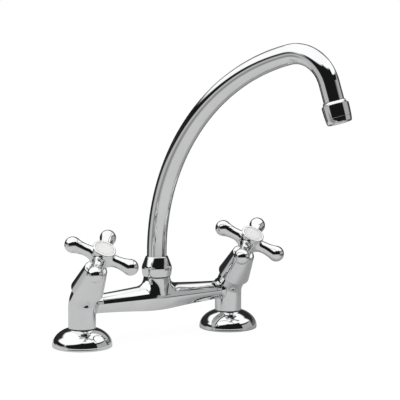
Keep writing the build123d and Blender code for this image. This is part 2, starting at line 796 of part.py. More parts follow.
def make_valve_body(side, x):
    """Brass headwork: barrel with water windows, flange, hexagon, neck and nose."""
    barrel_r = chamber_radius - screwed_gap
    window_floor = moving_disc_seat + disc_thickness
    with BuildPart() as body:
        with BuildSketch(along_valve(x, disc_seat)):
            Circle(barrel_r)
        extrude(amount=pillar_top - disc_seat)
        with BuildSketch(along_valve(x, pillar_top)):
            Circle(body_flange_radius)
        extrude(amount=body_flange_thickness)
        with BuildSketch(along_valve(x, pillar_top + body_flange_thickness)):
            RegularPolygon(inside_cover(body_hex_top) - body_hex_gap, 6)
        extrude(amount=body_hex_height)
        with BuildSketch(along_valve(x, body_hex_top)):
            Circle(neck_radius)
        extrude(amount=cover_seat - body_hex_top)
        with BuildSketch(along_valve(x, cover_seat)):
            Circle(nose_radius)
        extrude(amount=nose_top - cover_seat)
        with BuildSketch(along_valve(x, disc_seat)):
            Circle(barrel_bore_radius)
        extrude(amount=barrel_bore_top - disc_seat, mode=Mode.SUBTRACT)
        with BuildSketch(along_valve(x, disc_seat)):
            Circle(spindle_radius + running_gap)
        extrude(amount=nose_top - disc_seat, mode=Mode.SUBTRACT)
        with BuildSketch(along_valve(x, window_floor)):
            Rectangle(2.5 * chamber_radius, window_width)
        extrude(amount=window_height, mode=Mode.SUBTRACT)
    finish(body, f"{side}_valve_body")


def make_valve_seal(side, x):
    """Rubber ring under the fixed disc."""
    with BuildPart() as seal:
        with BuildSketch(along_valve(x, chamber_floor)):
            Circle(disc_radius)
            Circle(seal_bore_radius, mode=Mode.SUBTRACT)
        extrude(amount=seal_thickness)
    finish(seal, f"{side}_valve_seal")


def make_fixed_disc(side, x):
    """Ceramic disc that stays still, with two round ports."""
    with BuildPart() as disc:
        with BuildSketch(along_valve(x, disc_seat)):
            Circle(disc_radius)
            with PolarLocations(disc_port_offset, 2):
                Circle(disc_port_radius, mode=Mode.SUBTRACT)
        extrude(amount=disc_thickness)
    finish(disc, f"{side}_fixed_disc")


# ================================================================ pieces that turn with a handle
def turned_with(plane, handle_turn):
    """The same plane turned about its own normal, by degrees."""
    turn = radians(handle_turn)
    across = plane.x_dir * cos(turn) + plane.y_dir * sin(turn)
    return Plane(origin=plane.origin, x_dir=across, z_dir=plane.z_dir)


def make_moving_disc(side, x, handle_turn):
    """Ceramic disc turned by the spindle's tongue. Its ports stand off the fixed ones."""
    with BuildPart() as disc:
        with BuildSketch(along_valve(x, moving_disc_seat)):
            Circle(disc_radius - screwed_gap)
            with PolarLocations(disc_port_offset, 2, start_angle=90):
                Circle(disc_port_radius, mode=Mode.SUBTRACT)
        extrude(amount=disc_thickness)
        slot_plane = along_valve(x, moving_disc_seat + disc_thickness - tongue_depth)
        with BuildSketch(turned_with(slot_plane, handle_turn)):
            Rectangle(tongue_length + 2 * screwed_gap, tongue_width + 2 * screwed_gap)
        extrude(amount=tongue_depth, mode=Mode.SUBTRACT)
    finish(disc, f"{side}_moving_disc")


def make_spindle(side, x, handle_turn):
    """Shaft from the moving disc up to the handle."""
    tongue_bottom = moving_disc_seat + disc_thickness - tongue_depth + disc_gap
    shaft_foot = spindle_foot + foot_disc_thickness
    with BuildPart() as spindle:
        with BuildSketch(turned_with(along_valve(x, tongue_bottom), handle_turn)):
            Rectangle(tongue_length, tongue_width)
        extrude(amount=spindle_foot - tongue_bottom)
        with BuildSketch(along_valve(x, spindle_foot)):
            Circle(foot_disc_radius)
        extrude(amount=foot_disc_thickness)
        with BuildSketch(along_valve(x, shaft_foot)):
            Circle(spindle_radius)
        extrude(amount=drive_bottom - shaft_foot)
        with BuildSketch(turned_with(along_valve(x, drive_bottom), handle_turn)):
            Circle(spindle_radius)
            Rectangle(spindle_square, spindle_square, mode=Mode.INTERSECT)
        extrude(amount=spindle_top - drive_bottom)
        for height in spindle_seal_heights:
            with BuildSketch(along_valve(x, height)):
                Circle(spindle_radius)
                Circle(spindle_radius - 2 * spindle_seal_section, mode=Mode.SUBTRACT)
            extrude(amount=spindle_seal_section * (1 + groove_gap), both=True, mode=Mode.SUBTRACT)
        with BuildSketch(along_valve(x, clip_seat)):
            Circle(spindle_radius)
            Circle(clip_groove_radius, mode=Mode.SUBTRACT)
        extrude(amount=clip_thickness + screwed_gap, mode=Mode.SUBTRACT)
        with BuildSketch(along_valve(x, spindle_top)):
            Circle(screw_radius + screwed_gap)
        extrude(amount=handle_floor - screw_length, mode=Mode.SUBTRACT)
    finish(spindle, f"{side}_spindle")


def make_spindle_seals(side, x):
    """Two rubber rings that keep water off the handle."""
    ring_r = spindle_radius - spindle_seal_section
    with BuildPart() as seals:
        for height in spindle_seal_heights:
            with BuildSketch(valve_profile(x)):
                with Locations((ring_r, height)):
                    Circle(spindle_seal_section - disc_gap)
            revolve(axis=valve_axis(x))
    finish(seals, f"{side}_spindle_seals")


def make_spindle_clip(side, x, handle_turn):
    """Open spring ring that stops the spindle from dropping into the barrel."""
    with BuildPart() as clip:
        with BuildSketch(turned_with(along_valve(x, clip_seat), handle_turn)):
            Circle(clip_radius)
            Circle(clip_groove_radius + screwed_gap, mode=Mode.SUBTRACT)
            with Locations((clip_radius, 0)):
                Rectangle(2 * clip_radius, 2 * clip_groove_radius * clip_opening, mode=Mode.SUBTRACT)
        extrude(amount=clip_thickness)
    finish(clip, f"{side}_spindle_clip")


def arm_hollow():
    """Radius of the hollow that runs from the straight neck tangent into the ball."""
    run = arm_reach - arm_neck_at
    return (run**2 + arm_neck_radius**2 - ball_radius**2) / (2 * (ball_radius - arm_neck_radius))


def make_handle(side, x, handle_turn):
    """Cross handle: a waisted hub and four necked arms that end in balls."""
    centre = along_valve(x, hub_height)
    turn_in = atan2(arm_neck_radius + arm_hollow(), arm_reach - arm_neck_at)
    join = (arm_reach - ball_radius * cos(turn_in), ball_radius * sin(turn_in))
    shoulder = (arm_reach + ball_radius * sin(turn_in / 2), ball_radius * cos(turn_in / 2))
    tip = arm_reach + ball_radius
    hub_waist = (skirt_radius - skirt_waist[0], skirt_bottom + skirt_waist[1])
    hub_flare = (skirt_radius + skirt_flare[0], skirt_bottom + skirt_flare[1])
    hub_belly = (hub_top_radius - hub_draft, hub_foot)
    with BuildPart() as handle:
        with BuildSketch(valve_profile(x)):
            with BuildLine():
                Line((0, skirt_bottom), (skirt_radius, skirt_bottom))
                waist = ThreePointArc((skirt_radius, skirt_bottom), hub_waist, hub_flare)
                TangentArc(waist @ 1, hub_belly, tangent=waist % 1)
                Polyline(hub_belly, (hub_top_radius, hub_top), (0, hub_top), (0, skirt_bottom))
            make_face()
        revolve(axis=valve_axis(x))
        for quarter in range(4):
            arm = turned_with(centre, handle_turn + 90 * quarter)
            with BuildSketch(Plane(origin=arm.origin, x_dir=arm.x_dir, z_dir=arm.x_dir.cross(arm.z_dir))):
                with BuildLine():
                    Line((0, 0), (0, arm_neck_radius))
                    neck = Line((0, arm_neck_radius), (arm_neck_at, arm_neck_radius))
                    TangentArc(neck @ 1, join, tangent=neck % 1)
                    ThreePointArc(join, shoulder, (tip, 0))
                    Line((tip, 0), (0, 0))
                make_face()
            revolve(axis=Axis(arm.origin, arm.x_dir))
        roots = handle.edges().filter_by(lambda e: e.geom_type not in (GeomType.CIRCLE, GeomType.LINE))
        fillet(roots, hub_fillet)
        with BuildSketch(along_valve(x, skirt_bottom)):
            Circle(skirt_cavity_radius)
        extrude(amount=skirt_cavity_top - skirt_bottom, mode=Mode.SUBTRACT)
        with BuildSketch(turned_with(along_valve(x, skirt_bottom), handle_turn)):
            Circle(spindle_radius + screwed_gap)
            Rectangle(
                spindle_square + 2 * screwed_gap, spindle_square + 2 * screwed_gap, mode=Mode.INTERSECT
            )
        extrude(amount=spindle_top + disc_gap - skirt_bottom, mode=Mode.SUBTRACT)
        with BuildSketch(along_valve(x, spindle_top)):
            Circle(screw_radius + 2 * screwed_gap)
        extrude(amount=hub_top - spindle_top, mode=Mode.SUBTRACT)
        with BuildSketch(along_valve(x, head_seat)):
            Circle(screw_head_radius + screw_head_gap)
        extrude(amount=hub_top - head_seat, mode=Mode.SUBTRACT)
        with BuildSketch(along_valve(x, hub_top - cap_spigot_length - screwed_gap)):
            Circle(cap_spigot_radius + screwed_gap)
        extrude(amount=cap_spigot_length + screwed_gap, mode=Mode.SUBTRACT)
    finish(handle, f"{side}_handle")


def make_handle_screw(side, x):
    """Slotted screw down the middle of the handle into the spindle."""
    with BuildPart() as screw:
        with BuildSketch(along_valve(x, head_seat)):
            Circle(screw_head_radius)
        extrude(amount=screw_head_height)
        with BuildSketch(along_valve(x, head_seat)):
            Circle(screw_radius)
        extrude(amount=screw_tip_gap - screw_length)
        with BuildSketch(along_valve(x, head_seat + screw_head_height)):
            Rectangle(3 * screw_head_radius, screw_slot)
        extrude(amount=-screw_head_height / 2, mode=Mode.SUBTRACT)
    finish(screw, f"{side}_handle_screw")


def make_handle_cap(side, x):
    """Round cap pushed into the top of the hub, with a shallow well for the disc."""
    spigot = hub_top - cap_spigot_length
    well_radius = index_radius + screwed_gap
    with BuildPart() as cap:
        with BuildSketch(valve_profile(x)):
            with BuildLine():
                Polyline(
                    (0, spigot),
                    (cap_spigot_radius, spigot),
                    (cap_spigot_radius, hub_top),
                    (cap_radius - cap_edge, hub_top),
                    (cap_radius, hub_top + cap_edge),
                    (cap_radius, cap_top - cap_edge),
                )
                RadiusArc((cap_radius, cap_top - cap_edge), (cap_radius - cap_edge, cap_top), -cap_edge)
                Polyline(
                    (cap_radius - cap_edge, cap_top),
                    (well_radius + cap_well_chamfer, cap_top),
                    (well_radius, cap_top - cap_well_chamfer),
                    (well_radius, index_floor),
                    (0, index_floor),
                    (0, spigot),
                )
            make_face()
        revolve(axis=valve_axis(x))
    finish(cap, f"{side}_handle_cap")


def make_index(side, x):
    """Bare white disc let into the cap."""
    edge = cap_top - index_sink
    with BuildPart() as index:
        with BuildSketch(valve_profile(x)):
            with BuildLine():
                TangentArc((0, edge + index_dome), (index_radius, edge), tangent=(1, 0))
                Polyline(
                    (index_radius, edge),
                    (index_radius, index_floor),
                    (0, index_floor),
                    (0, edge + index_dome),
                )
            make_face()
        revolve(axis=valve_axis(x))
    finish(index, f"{side}_index")


# ================================================================ the whole faucet
for side, x, handle_turn in (
    ("left", -pillar_spacing / 2, left_handle_turn),
    ("right", pillar_spacing / 2, right_handle_turn),
):
    make_flange(side, x)
    make_gasket(side, x)
    make_tail(side, x)
    make_deck_washer(side, x)
    make_backnut(side, x)
    make_pillar(side, x)
    make_cover(side, x)
    make_valve_body(side, x)
    make_valve_seal(side, x)
    make_fixed_disc(side, x)
    make_moving_disc(side, x, handle_turn)
    make_spindle(side, x, handle_turn)
    make_spindle_seals(side, x)
    make_spindle_clip(side, x, handle_turn)
    make_handle(side, x, handle_turn)
    make_handle_screw(side, x)
    make_handle_cap(side, x)
    make_index(side, x)

make_bridge()
make_spout_nut()
make_spout_bush()

centreline = spout_line()
make_spout_tube(centreline)
make_spout_collar()
make_spout_seals()
make_spout_ferrule(centreline)
make_aerator_ring(centreline)
make_aerator_insert(centreline)
make_aerator_washer(centreline)
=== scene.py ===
"""Looks of a chrome bridge kitchen faucet with cross handles and a swan-neck spout.

Everything is in metres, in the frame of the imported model: the origin is on the deck midway
between the pillars, +X runs to the right-hand pillar, -Y is the front and +Z is up.
"""

import json
import logging
import math
from dataclasses import dataclass
from enum import Enum

import bpy
import numpy as np
from mathutils import Matrix, Vector

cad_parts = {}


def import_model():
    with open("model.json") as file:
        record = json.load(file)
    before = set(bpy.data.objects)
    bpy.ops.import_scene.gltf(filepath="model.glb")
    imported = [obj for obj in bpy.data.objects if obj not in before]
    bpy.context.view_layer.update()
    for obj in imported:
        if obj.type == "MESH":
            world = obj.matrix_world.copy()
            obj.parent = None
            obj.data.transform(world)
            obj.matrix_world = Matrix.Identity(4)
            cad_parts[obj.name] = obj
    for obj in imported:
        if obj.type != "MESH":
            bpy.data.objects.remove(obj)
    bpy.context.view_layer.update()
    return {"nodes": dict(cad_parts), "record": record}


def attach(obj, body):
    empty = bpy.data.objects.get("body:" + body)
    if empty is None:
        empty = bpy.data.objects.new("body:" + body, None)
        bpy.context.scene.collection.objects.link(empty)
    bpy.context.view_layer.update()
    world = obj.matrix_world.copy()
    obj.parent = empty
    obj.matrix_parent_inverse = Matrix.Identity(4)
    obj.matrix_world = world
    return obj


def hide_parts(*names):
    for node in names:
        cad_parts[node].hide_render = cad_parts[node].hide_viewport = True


Piece = bpy.types.Object
Socket = bpy.types.NodeSocket
Pair = tuple[float, float]
Triple = tuple[float, float, float]
Array = np.ndarray

log = logging.getLogger("faucet")
MM = 0.001
TOUCH = 0.001 * MM  # points this near are one
SLIVER = 0.004 * MM  # a finished piece has no face thinner than this
OVER = 1.0 * MM  # a tool runs this far past what it cuts
CREST_CLEAR = 0.03 * MM  # an envelope stands this far off a thread's crests
THREAD_PLAY = 0.1 * MM  # an inner thread is this much wider than its outer one


# ==== small helpers for node graphs
class Graph:
    """A material's or world's node tree, with short calls to add and link nodes."""

    def __init__(self, owner: bpy.types.ID) -> None:
        """Empty the tree of a material or a world.

        Args:
            owner: The material or world.
        """
        owner.use_nodes = True
        self.tree = owner.node_tree
        self.tree.nodes.clear()

    def add(
        self, kind: str, settings: dict | None = None, *values: object, **inputs: object
    ) -> bpy.types.Node:
        """Add a node.

        Args:
            kind: Blender's node type without ShaderNode.
            settings: Properties of the node itself.
            *values: What its first inputs are fed.
            **inputs: What inputs are fed by name, with _ for a space.

        Returns:
            The new node.
        """
        node = self.tree.nodes.new("ShaderNode" + kind)
        for name, value in (settings or {}).items():
            setattr(node, name, value)
        for index, value in enumerate(values):
            self.feed(node, index, value)
        for name, value in inputs.items():
            self.feed(node, name.replace("_", " "), value)
        return node

    def feed(self, node: bpy.types.Node, name: str | int, value: object) -> None:
        """Set an input, or link something to it.

        Args:
            node: The node that has the input.
            name: The input's name or number.
            value: A plain value, an output socket, or a node for its first output.
        """
        if isinstance(value, bpy.types.Node):
            value = value.outputs[0]
        if isinstance(value, Socket):
            self.tree.links.new(value, node.inputs[name])
        else:
            node.inputs[name].default_value = value

    def math(self, operation: str, *values: object) -> Socket:
        """Work out a number by one of Blender's operations."""
        return self.add("Math", {"operation": operation}, *values).outputs["Value"]

    def remap(self, value: object, *ends: float, kind: str = "LINEAR") -> Socket:
        """Map one range to another: where it starts and ends, and what it gives there."""
        return self.add("MapRange", {"interpolation_type": kind}, value, *ends).outputs["Result"]

    def ramp(self, value: object, low: float, high: float, rising: bool = True) -> Socket:
        """Smooth step between two values, up to 1 where it rises and down to 0 where not."""
        return self.remap(value, low, high, 1.0 - rising, float(rising), kind="SMOOTHSTEP")

    def mix(self, share: object, first: object, second: object) -> Socket:
        """Mix two shaders by the share of the second."""
        return self.add("MixShader", None, share, first, second).outputs["Shader"]


@dataclass(frozen=True)
class Finish:
    """A procedural finish: colour, roughness and relief, each varied over the surface.

    The gloss is the roughness at its least and its most. The scales are those of the patches of
    colour and of the grain.
    """

    name: str
    slot: str
    light: Triple
    dark: Triple
    gloss: Pair
    scales: Pair
    relief: float
    metallic: float = 1.0
    coat: float = 0.0
    coat_roughness: float = 0.03
    tint_ends: Pair = (0.35, 0.65)
    grain_ends: Pair = (0.3, 0.7)

    def make(self) -> bpy.types.Material:
        """Build the material once, and give back the same one after that.

        Returns:
            The Blender material.
        """
        found = bpy.data.materials.get(self.name)
        if found:
            return found
        material = bpy.data.materials.new(self.name)
        graph = Graph(material)
        place = graph.add("TexCoord").outputs["Object"]
        patches, grain = (
            graph.add("TexNoise", Vector=place, Scale=scale, Detail=3.0, Roughness=roughness)
            for scale, roughness in zip(self.scales, (0.55, 0.6))
        )
        tint = graph.add("ValToRGB", Fac=patches)
        tones = (self.dark, self.light)
        for stop, position, tone in zip(tint.color_ramp.elements, self.tint_ends, tones):
            stop.position, stop.color = position, (*tone, 1)
        gloss = graph.remap(grain, *self.grain_ends, *self.gloss)
        normal = self.relief_of(graph, place, grain)
        shader = graph.add("BsdfPrincipled", Metallic=self.metallic, Roughness=gloss, Normal=normal)
        graph.feed(shader, "Base Color", tint)
        if self.coat:
            shader.inputs["Coat Weight"].default_value = self.coat
            shader.inputs["Coat Roughness"].default_value = self.coat_roughness
        graph.add("OutputMaterial", Surface=shader)
        return material

    def relief_of(self, graph: Graph, place: Socket, grain: bpy.types.Node) -> Socket:
        """Normal from the grain's bumps; a finish with more relief reads the place too."""
        return graph.add("Bump", Height=grain, Distance=self.relief).outputs["Normal"]


@dataclass(frozen=True)
class Plated(Finish):
    """Polished plate over a buffed casting: nearly flat, with a long shallow wave."""

    wave_scale: float = 28.0
    wave: float = 0.00004

    def relief_of(self, graph: Graph, place: Socket, grain: bpy.types.Node) -> Socket:
        """Fine haze over the buffed wave.

        Args:
            graph: The material's graph.
            place: Object coordinates.
            grain: The haze.

        Returns:
            The output socket with the normal.
        """
        swell = graph.add("TexNoise", Vector=place, Scale=self.wave_scale, Detail=1.0, Roughness=0.4)
        low = graph.add("Bump", Height=swell, Distance=self.wave)
        fine = graph.add("Bump", Height=grain, Distance=self.relief)
        graph.feed(fine, "Normal", low)
        return fine.outputs["Normal"]


CHROME = Plated(
    "polished_chrome", "chrome", (0.90, 0.905, 0.91), (0.84, 0.845, 0.855),
    gloss=(0.015, 0.06), scales=(34.0, 900.0), relief=0.0000006,
)
# Dark plate for the nut's undercut: painted shade in the joint between the nut and the boss.
PAINTED_SHADE_PLATE = Plated(
    "recessed_plate", "chrome", (0.10, 0.10, 0.105), (0.05, 0.05, 0.052),
    gloss=(0.3, 0.5), scales=(90.0, 1200.0), relief=0.000002,
)
BRASS = Finish(
    "machined_brass", "brass", (0.80, 0.63, 0.36), (0.68, 0.51, 0.27),
    gloss=(0.2, 0.38), scales=(60.0, 1400.0), relief=0.000004,
)
STEEL = Finish(
    "plain_steel", "steel", (0.64, 0.64, 0.65), (0.54, 0.54, 0.55),
    gloss=(0.25, 0.42), scales=(80.0, 1600.0), relief=0.000004,
)
RUBBER = Finish(
    "black_rubber", "rubber", (0.055, 0.055, 0.055), (0.035, 0.035, 0.036),
    gloss=(0.55, 0.75), scales=(90.0, 1800.0), relief=0.00001, metallic=0.0,
)
CERAMIC = Finish(
    "lapped_ceramic", "ceramic", (0.92, 0.91, 0.88), (0.88, 0.87, 0.83),
    gloss=(0.12, 0.2), scales=(70.0, 1500.0), relief=0.000002, metallic=0.0,
)
PLASTIC = Finish(
    "moulded_plastic", "plastic", (0.86, 0.86, 0.84), (0.80, 0.80, 0.78),
    gloss=(0.35, 0.5), scales=(70.0, 1200.0), relief=0.000006, metallic=0.0,
)
ENAMEL = Finish(
    "white_enamel", "enamel", (0.86, 0.86, 0.85), (0.82, 0.82, 0.81),
    gloss=(0.08, 0.16), scales=(50.0, 600.0), relief=0.000004, metallic=0.0, coat=0.6,
)
FINISHES = {finish.slot: finish for finish in (CHROME, BRASS, STEEL, RUBBER, CERAMIC, PLASTIC, ENAMEL)}


# ==== camera, floor and light
@dataclass(frozen=True)
class Patch:
    """A patch of the tent, the card or the table that the metal mirrors.

    The azimuth is in degrees from the camera's side to the right. The reach is degrees over
    level on the tent, metres up on the card and metres from the faucet on the table. Each edge
    fades over a width. The far edge climbs by the slant for each degree of azimuth.
    """

    azimuth: Pair
    reach: Pair
    tone: float
    fade: tuple[float, ...] = (3.0, 3.0, 3.0, 3.0)
    slant: float = 0.0


@dataclass(frozen=True)
class Lamp:
    """Soft lamp: where it stands, its size in metres and its power in watts."""

    name: str
    bearing: Triple
    size: Pair
    power: float


@dataclass
class Studio:
    """Camera at the photograph's angle, pale table, soft lamps, and what the metal mirrors."""

    azimuth: float = -34.347
    elevation: float = 7.271
    distance: float = 1.944
    aim: Triple = (0.04687, -0.010375, 0.140128)
    lens: float = 168.86
    middle: Triple = (0.0, -0.02, 0.13)
    lamps: tuple[Lamp, ...] = (
        Lamp("overhead", (10.0, 62.0, 1.5), (1.5, 1.5), 10.0),
        Lamp("fill", (-90.0, 30.0, 1.9), (0.9, 1.2), 5.0),
    )
    world_grey: float = 0.55
    tent_radius: float = 3.0
    table_radius: float = 1.3
    table_grey: float = 0.90
    paper_strength: float = 1.06
    melt: Pair = (0.35, 0.9)
    lift: float = 0.86
    grey_share: float = 0.7
    grey_melt: Pair = (0.3, 0.6)
    cloth: tuple[Patch, ...] = (
        Patch((-180, 180), (-90, 90), 1.12),
        Patch((-180, 180), (-90, 0), 0.3, (0, 0, 0, 3)),
        Patch((56, 114), (-25, 47.2), 0.008, (4, 16, 8, 2.5), -0.15),
        Patch((60, 116), (-25, 27), 0.42, (2, 6, 8, 4)),
        Patch((114, 163), (-12, 26), 0.06, (6, 8, 4, 12)),
        Patch((138, 180), (16, 46), 0.14, (10, 0, 8, 10)),
        Patch((-180, -150), (16, 40), 0.18, (0, 10, 8, 10)),
        Patch((-180, -146), (-12, 16), 0.035, (0, 6, 4, 10)),
        Patch((-152, -68), (-4, 22.5), 0.010, (6, 10, 3, 5)),
        Patch((-77, -60), (-4, 14), 0.12, (5, 3, 3, 12)),
        Patch((-64, 4), (-12, 49), 0.010, (6, 6, 2, 6), 0.40),
        Patch((-4, 62), (-12, 49), 0.010, (6, 1.5, 2, 6)),
        Patch((-128, -54), (-90, 5.5), 0.50, (6, 8, 0, 3)),
    )
    # The table as the metal mirrors it glows in painted light and shade: grey in front, painted shade to
    # the right, at the back and far off to the front left.
    sheet: tuple[Patch, ...] = (
        Patch((-180, 180), (0, 9), 0.52),
        Patch((90, 180), (0.05, 9), 0.18, (30, 0, 0.1, 0)),
        Patch((-180, -150), (0.05, 9), 0.22, (0, 30, 0.1, 0)),
        Patch((64, 180), (0.31, 9), 0.05, (12, 0, 0.08, 0)),
        Patch((-70, -18), (0.48, 9), 0.28, (8, 12, 0.16, 0)),
    )
    screen_radius: float = 0.42
    screen_height: float = 0.84
    screen_tones: tuple[Patch, ...] = (
        Patch((-180, 180), (-1, 1), 0.02),
        Patch((0, 180), (-1, 1), 0.15, (9, 0, 0, 0)),
        Patch((-180, -168), (-1, 1), 0.10, (0, 10, 0, 0)),
        Patch((-180, 180), (0.09, 1), 0.025, (0, 0, 0.06, 0)),
    )
    screen_cover: tuple[Patch, ...] = (
        Patch((-180, 180), (-1, 1), 0.0),
        Patch((118, 180), (-1, 0.36), 1.0, (10, 0, 0, 0.1)),
        Patch((-180, -104), (-1, 0.32), 1.0, (0, 14, 0, 0.1)),
    )

    def stand(self, data: bpy.types.ID, aim: Triple, bearing: Triple) -> Piece:
        """Stand a camera or a lamp where it faces a point.

        Args:
            data: The camera or the lamp.
            aim: The point.
            bearing: Degrees to the right of straight in front, degrees over level, and metres off.

        Returns:
            The new object.
        """
        piece = bpy.data.objects.new(data.name, data)
        bpy.context.scene.collection.objects.link(piece)
        a, e = math.radians(bearing[0]), math.radians(bearing[1])
        back = Vector((math.sin(a) * math.cos(e), -math.cos(a) * math.cos(e), math.sin(e)))
        piece.location = Vector(aim) + back * bearing[2]
        piece.rotation_mode = "QUATERNION"
        piece.rotation_quaternion = (-back).to_track_quat("-Z", "Y")
        return piece

    def place_camera(self) -> None:
        """Set the camera where the photograph was taken from."""
        data = bpy.data.cameras.new("camera")
        data.lens = self.lens
        bearing = (self.azimuth, self.elevation, self.distance)
        bpy.context.scene.camera = self.stand(data, self.aim, bearing)

    def rays(self, graph: Graph) -> tuple[Socket, Socket]:
        """Sockets that are 1 for rays off metal or through glass, and 1 for the camera's."""
        ray = graph.add("LightPath").outputs
        return graph.math("MAXIMUM", ray["Is Glossy Ray"], ray["Is Transmission Ray"]), ray["Is Camera Ray"]

    def bearings(self, graph: Graph) -> tuple[Socket, Socket, Socket]:
        """Distance from the faucet, azimuth from the camera's side in degrees, and height.

        Args:
            graph: The graph of a staged piece.

        Returns:
            The three output sockets.
        """
        place = graph.add("TexCoord").outputs["Object"]
        parts = graph.add("SeparateXYZ", Vector=place)
        across, depth, height = (parts.outputs[axis] for axis in "XYZ")
        c, s = math.cos(math.radians(self.azimuth)), math.sin(math.radians(self.azimuth))
        right, near = (
            graph.math(way, graph.math("MULTIPLY", across, first), graph.math("MULTIPLY", depth, second))
            for way, first, second in (("ADD", c, s), ("SUBTRACT", s, c))
        )
        azimuth = graph.math("DEGREES", graph.math("ARCTAN2", right, near))
        reach = graph.add("VectorMath", {"operation": "LENGTH"}, Vector=place)
        return reach.outputs["Value"], azimuth, height

    def put_up(self, name: str, cover: str, mirrored_only: bool = True) -> Graph:
        """Name the object just added, set which rays see it, and give it a material.

        Args:
            name: Its name.
            cover: Its material's name.
            mirrored_only: Whether only rays off metal see it.

        Returns:
            The material's empty graph.
        """
        staged = bpy.context.object
        staged.name = name
        for sight in ("visible_camera", "visible_diffuse", "visible_shadow"):
            setattr(staged, sight, not mirrored_only)
        staged.data.materials.append(bpy.data.materials.new(cover))
        return Graph(staged.active_material)

    def lay_table(self) -> None:
        """Pale table under the faucet: it keeps the shadow and melts into the background."""
        bpy.ops.mesh.primitive_circle_add(vertices=96, radius=self.table_radius * 2, fill_type="NGON")
        graph = self.put_up("table", "pale_table", mirrored_only=False)
        mirrored, straight = self.rays(graph)
        reach, azimuth, _ = self.bearings(graph)
        # Rays off the metal see the table glow with the painted light and shade of the sheet, mixed with
        # its own lit colour near the faucet.
        tone = self.lay_patches(graph, self.sheet, azimuth, reach)
        matt = graph.add("BsdfDiffuse", Color=(*[self.table_grey] * 3, 1))
        lit = graph.add("Emission", Color=(1, 1, 1, 1), Strength=self.paper_strength)
        paper = graph.mix(self.lift, matt, lit)
        grey = graph.add("Emission", Color=tone)
        more = graph.math("MULTIPLY", graph.ramp(reach, *self.grey_melt), 1 - self.grey_share)
        share = graph.math("ADD", self.grey_share, more)
        shown = graph.mix(mirrored, paper, graph.mix(share, matt, grey))
        far = graph.math("MULTIPLY", graph.ramp(reach, *self.melt), straight)
        over = graph.math("MULTIPLY", graph.math("GREATER_THAN", reach, self.table_radius), mirrored)
        clear = graph.add("BsdfTransparent")
        graph.add("OutputMaterial", Surface=graph.mix(graph.math("MAXIMUM", far, over), shown, clear))

    def pitch_tent(self) -> None:
        """Round tent with pale cloth and dark gaps, which only mirrored rays see."""
        bpy.ops.mesh.primitive_uv_sphere_add(segments=64, ring_count=32, radius=self.tent_radius)
        graph = self.put_up("tent", "tent_cloth")
        _, azimuth, height = self.bearings(graph)
        rise = graph.math("ARCSINE", graph.math("DIVIDE", height, self.tent_radius))
        tone = self.lay_patches(graph, self.cloth, azimuth, graph.math("DEGREES", rise))
        graph.add("OutputMaterial", Surface=graph.add("Emission", Color=tone))

    def hang_screen(self) -> None:
        """Dark card close behind and to the left, which only mirrored rays see."""
        bpy.ops.mesh.primitive_cylinder_add(
            vertices=96, radius=self.screen_radius, depth=self.screen_height, end_fill_type="NOTHING"
        )
        graph = self.put_up("screen", "dark_card")
        _, azimuth, height = self.bearings(graph)
        tone = self.lay_patches(graph, self.screen_tones, azimuth, height)
        card = graph.add("Emission", Color=tone)
        cover = self.lay_patches(graph, self.screen_cover, azimuth, height)
        graph.add("OutputMaterial", Surface=graph.mix(cover, graph.add("BsdfTransparent"), card))

    def lay_patches(
        self, graph: Graph, patches: tuple[Patch, ...], azimuth: Socket, reach: Socket
    ) -> Socket:
        """Lay patches over each other.

        Args:
            graph: The graph.
            patches: The patches, the first one covering everything.
            azimuth: Degrees from the camera's side.
            reach: Degrees over level, metres up or metres from the faucet.

        Returns:
            The tone.
        """
        tone = graph.math("ADD", patches[0].tone, 0.0)
        for patch in patches[1:]:
            cover = graph.math("ADD", 1.0, 0.0)
            level = reach
            if patch.slant:
                level = graph.math("SUBTRACT", reach, graph.math("MULTIPLY", azimuth, patch.slant))
                level = graph.math("MAXIMUM", level, patch.reach[0] + patch.fade[2])
            sides = (azimuth, patch.azimuth, patch.fade[:2])
            for value, ends, fades in (sides, (level, patch.reach, patch.fade[2:])):
                for edge, fade, rising in zip(ends, fades, (True, False)):
                    if fade:
                        share = graph.ramp(value, edge - fade / 2, edge + fade / 2, rising)
                        cover = graph.math("MULTIPLY", cover, share)
            step = graph.math("MULTIPLY", graph.math("SUBTRACT", patch.tone, tone), cover)
            tone = graph.math("ADD", tone, step)
        return tone

    def light(self) -> None:
        """Soft lamps, which the metal doesn't mirror, and a plain world."""
        for plan in self.lamps:
            data = bpy.data.lights.new(plan.name, "AREA")
            data.shape = "RECTANGLE"
            data.size, data.size_y = plan.size
            data.energy = plan.power
            lamp = self.stand(data, self.middle, plan.bearing)
            lamp.visible_camera = lamp.visible_glossy = False
        world = bpy.data.worlds.new("studio")
        bpy.context.scene.world = world
        graph = Graph(world)
        soft = graph.add("Background", Color=(*[self.world_grey] * 3, 1))
        white = graph.add("Background", Color=(1, 1, 1, 1))
        background = graph.math("MAXIMUM", *self.rays(graph))
        graph.add("OutputWorld", Surface=graph.mix(background, soft, white))
        bpy.context.scene.view_settings.view_transform = "Standard"

    def build(self) -> None:
        """Make the whole studio."""
        self.place_camera()
        self.lay_table()
        self.pitch_tent()
        self.hang_screen()
        self.light()


# ==== bench work shared by the pieces
def clear_bench() -> None:
    """Deselect everything."""
    bpy.ops.object.select_all(action="DESELECT")


def pick_up(piece: Piece) -> None:
    """Select one piece alone and make it active.

    Args:
        piece: The piece.
    """
    clear_bench()
    piece.select_set(True)
    bpy.context.view_layer.objects.active = piece


def open_mesh() -> None:
    """Go into edit mode with everything selected."""
    bpy.ops.object.mode_set(mode="EDIT")
    bpy.ops.mesh.select_all(action="SELECT")


def close_mesh() -> None:
    """Pair all faces outwards and leave edit mode."""
    bpy.ops.mesh.select_all(action="SELECT")
    bpy.ops.mesh.normals_make_consistent()
    bpy.ops.object.mode_set(mode="OBJECT")


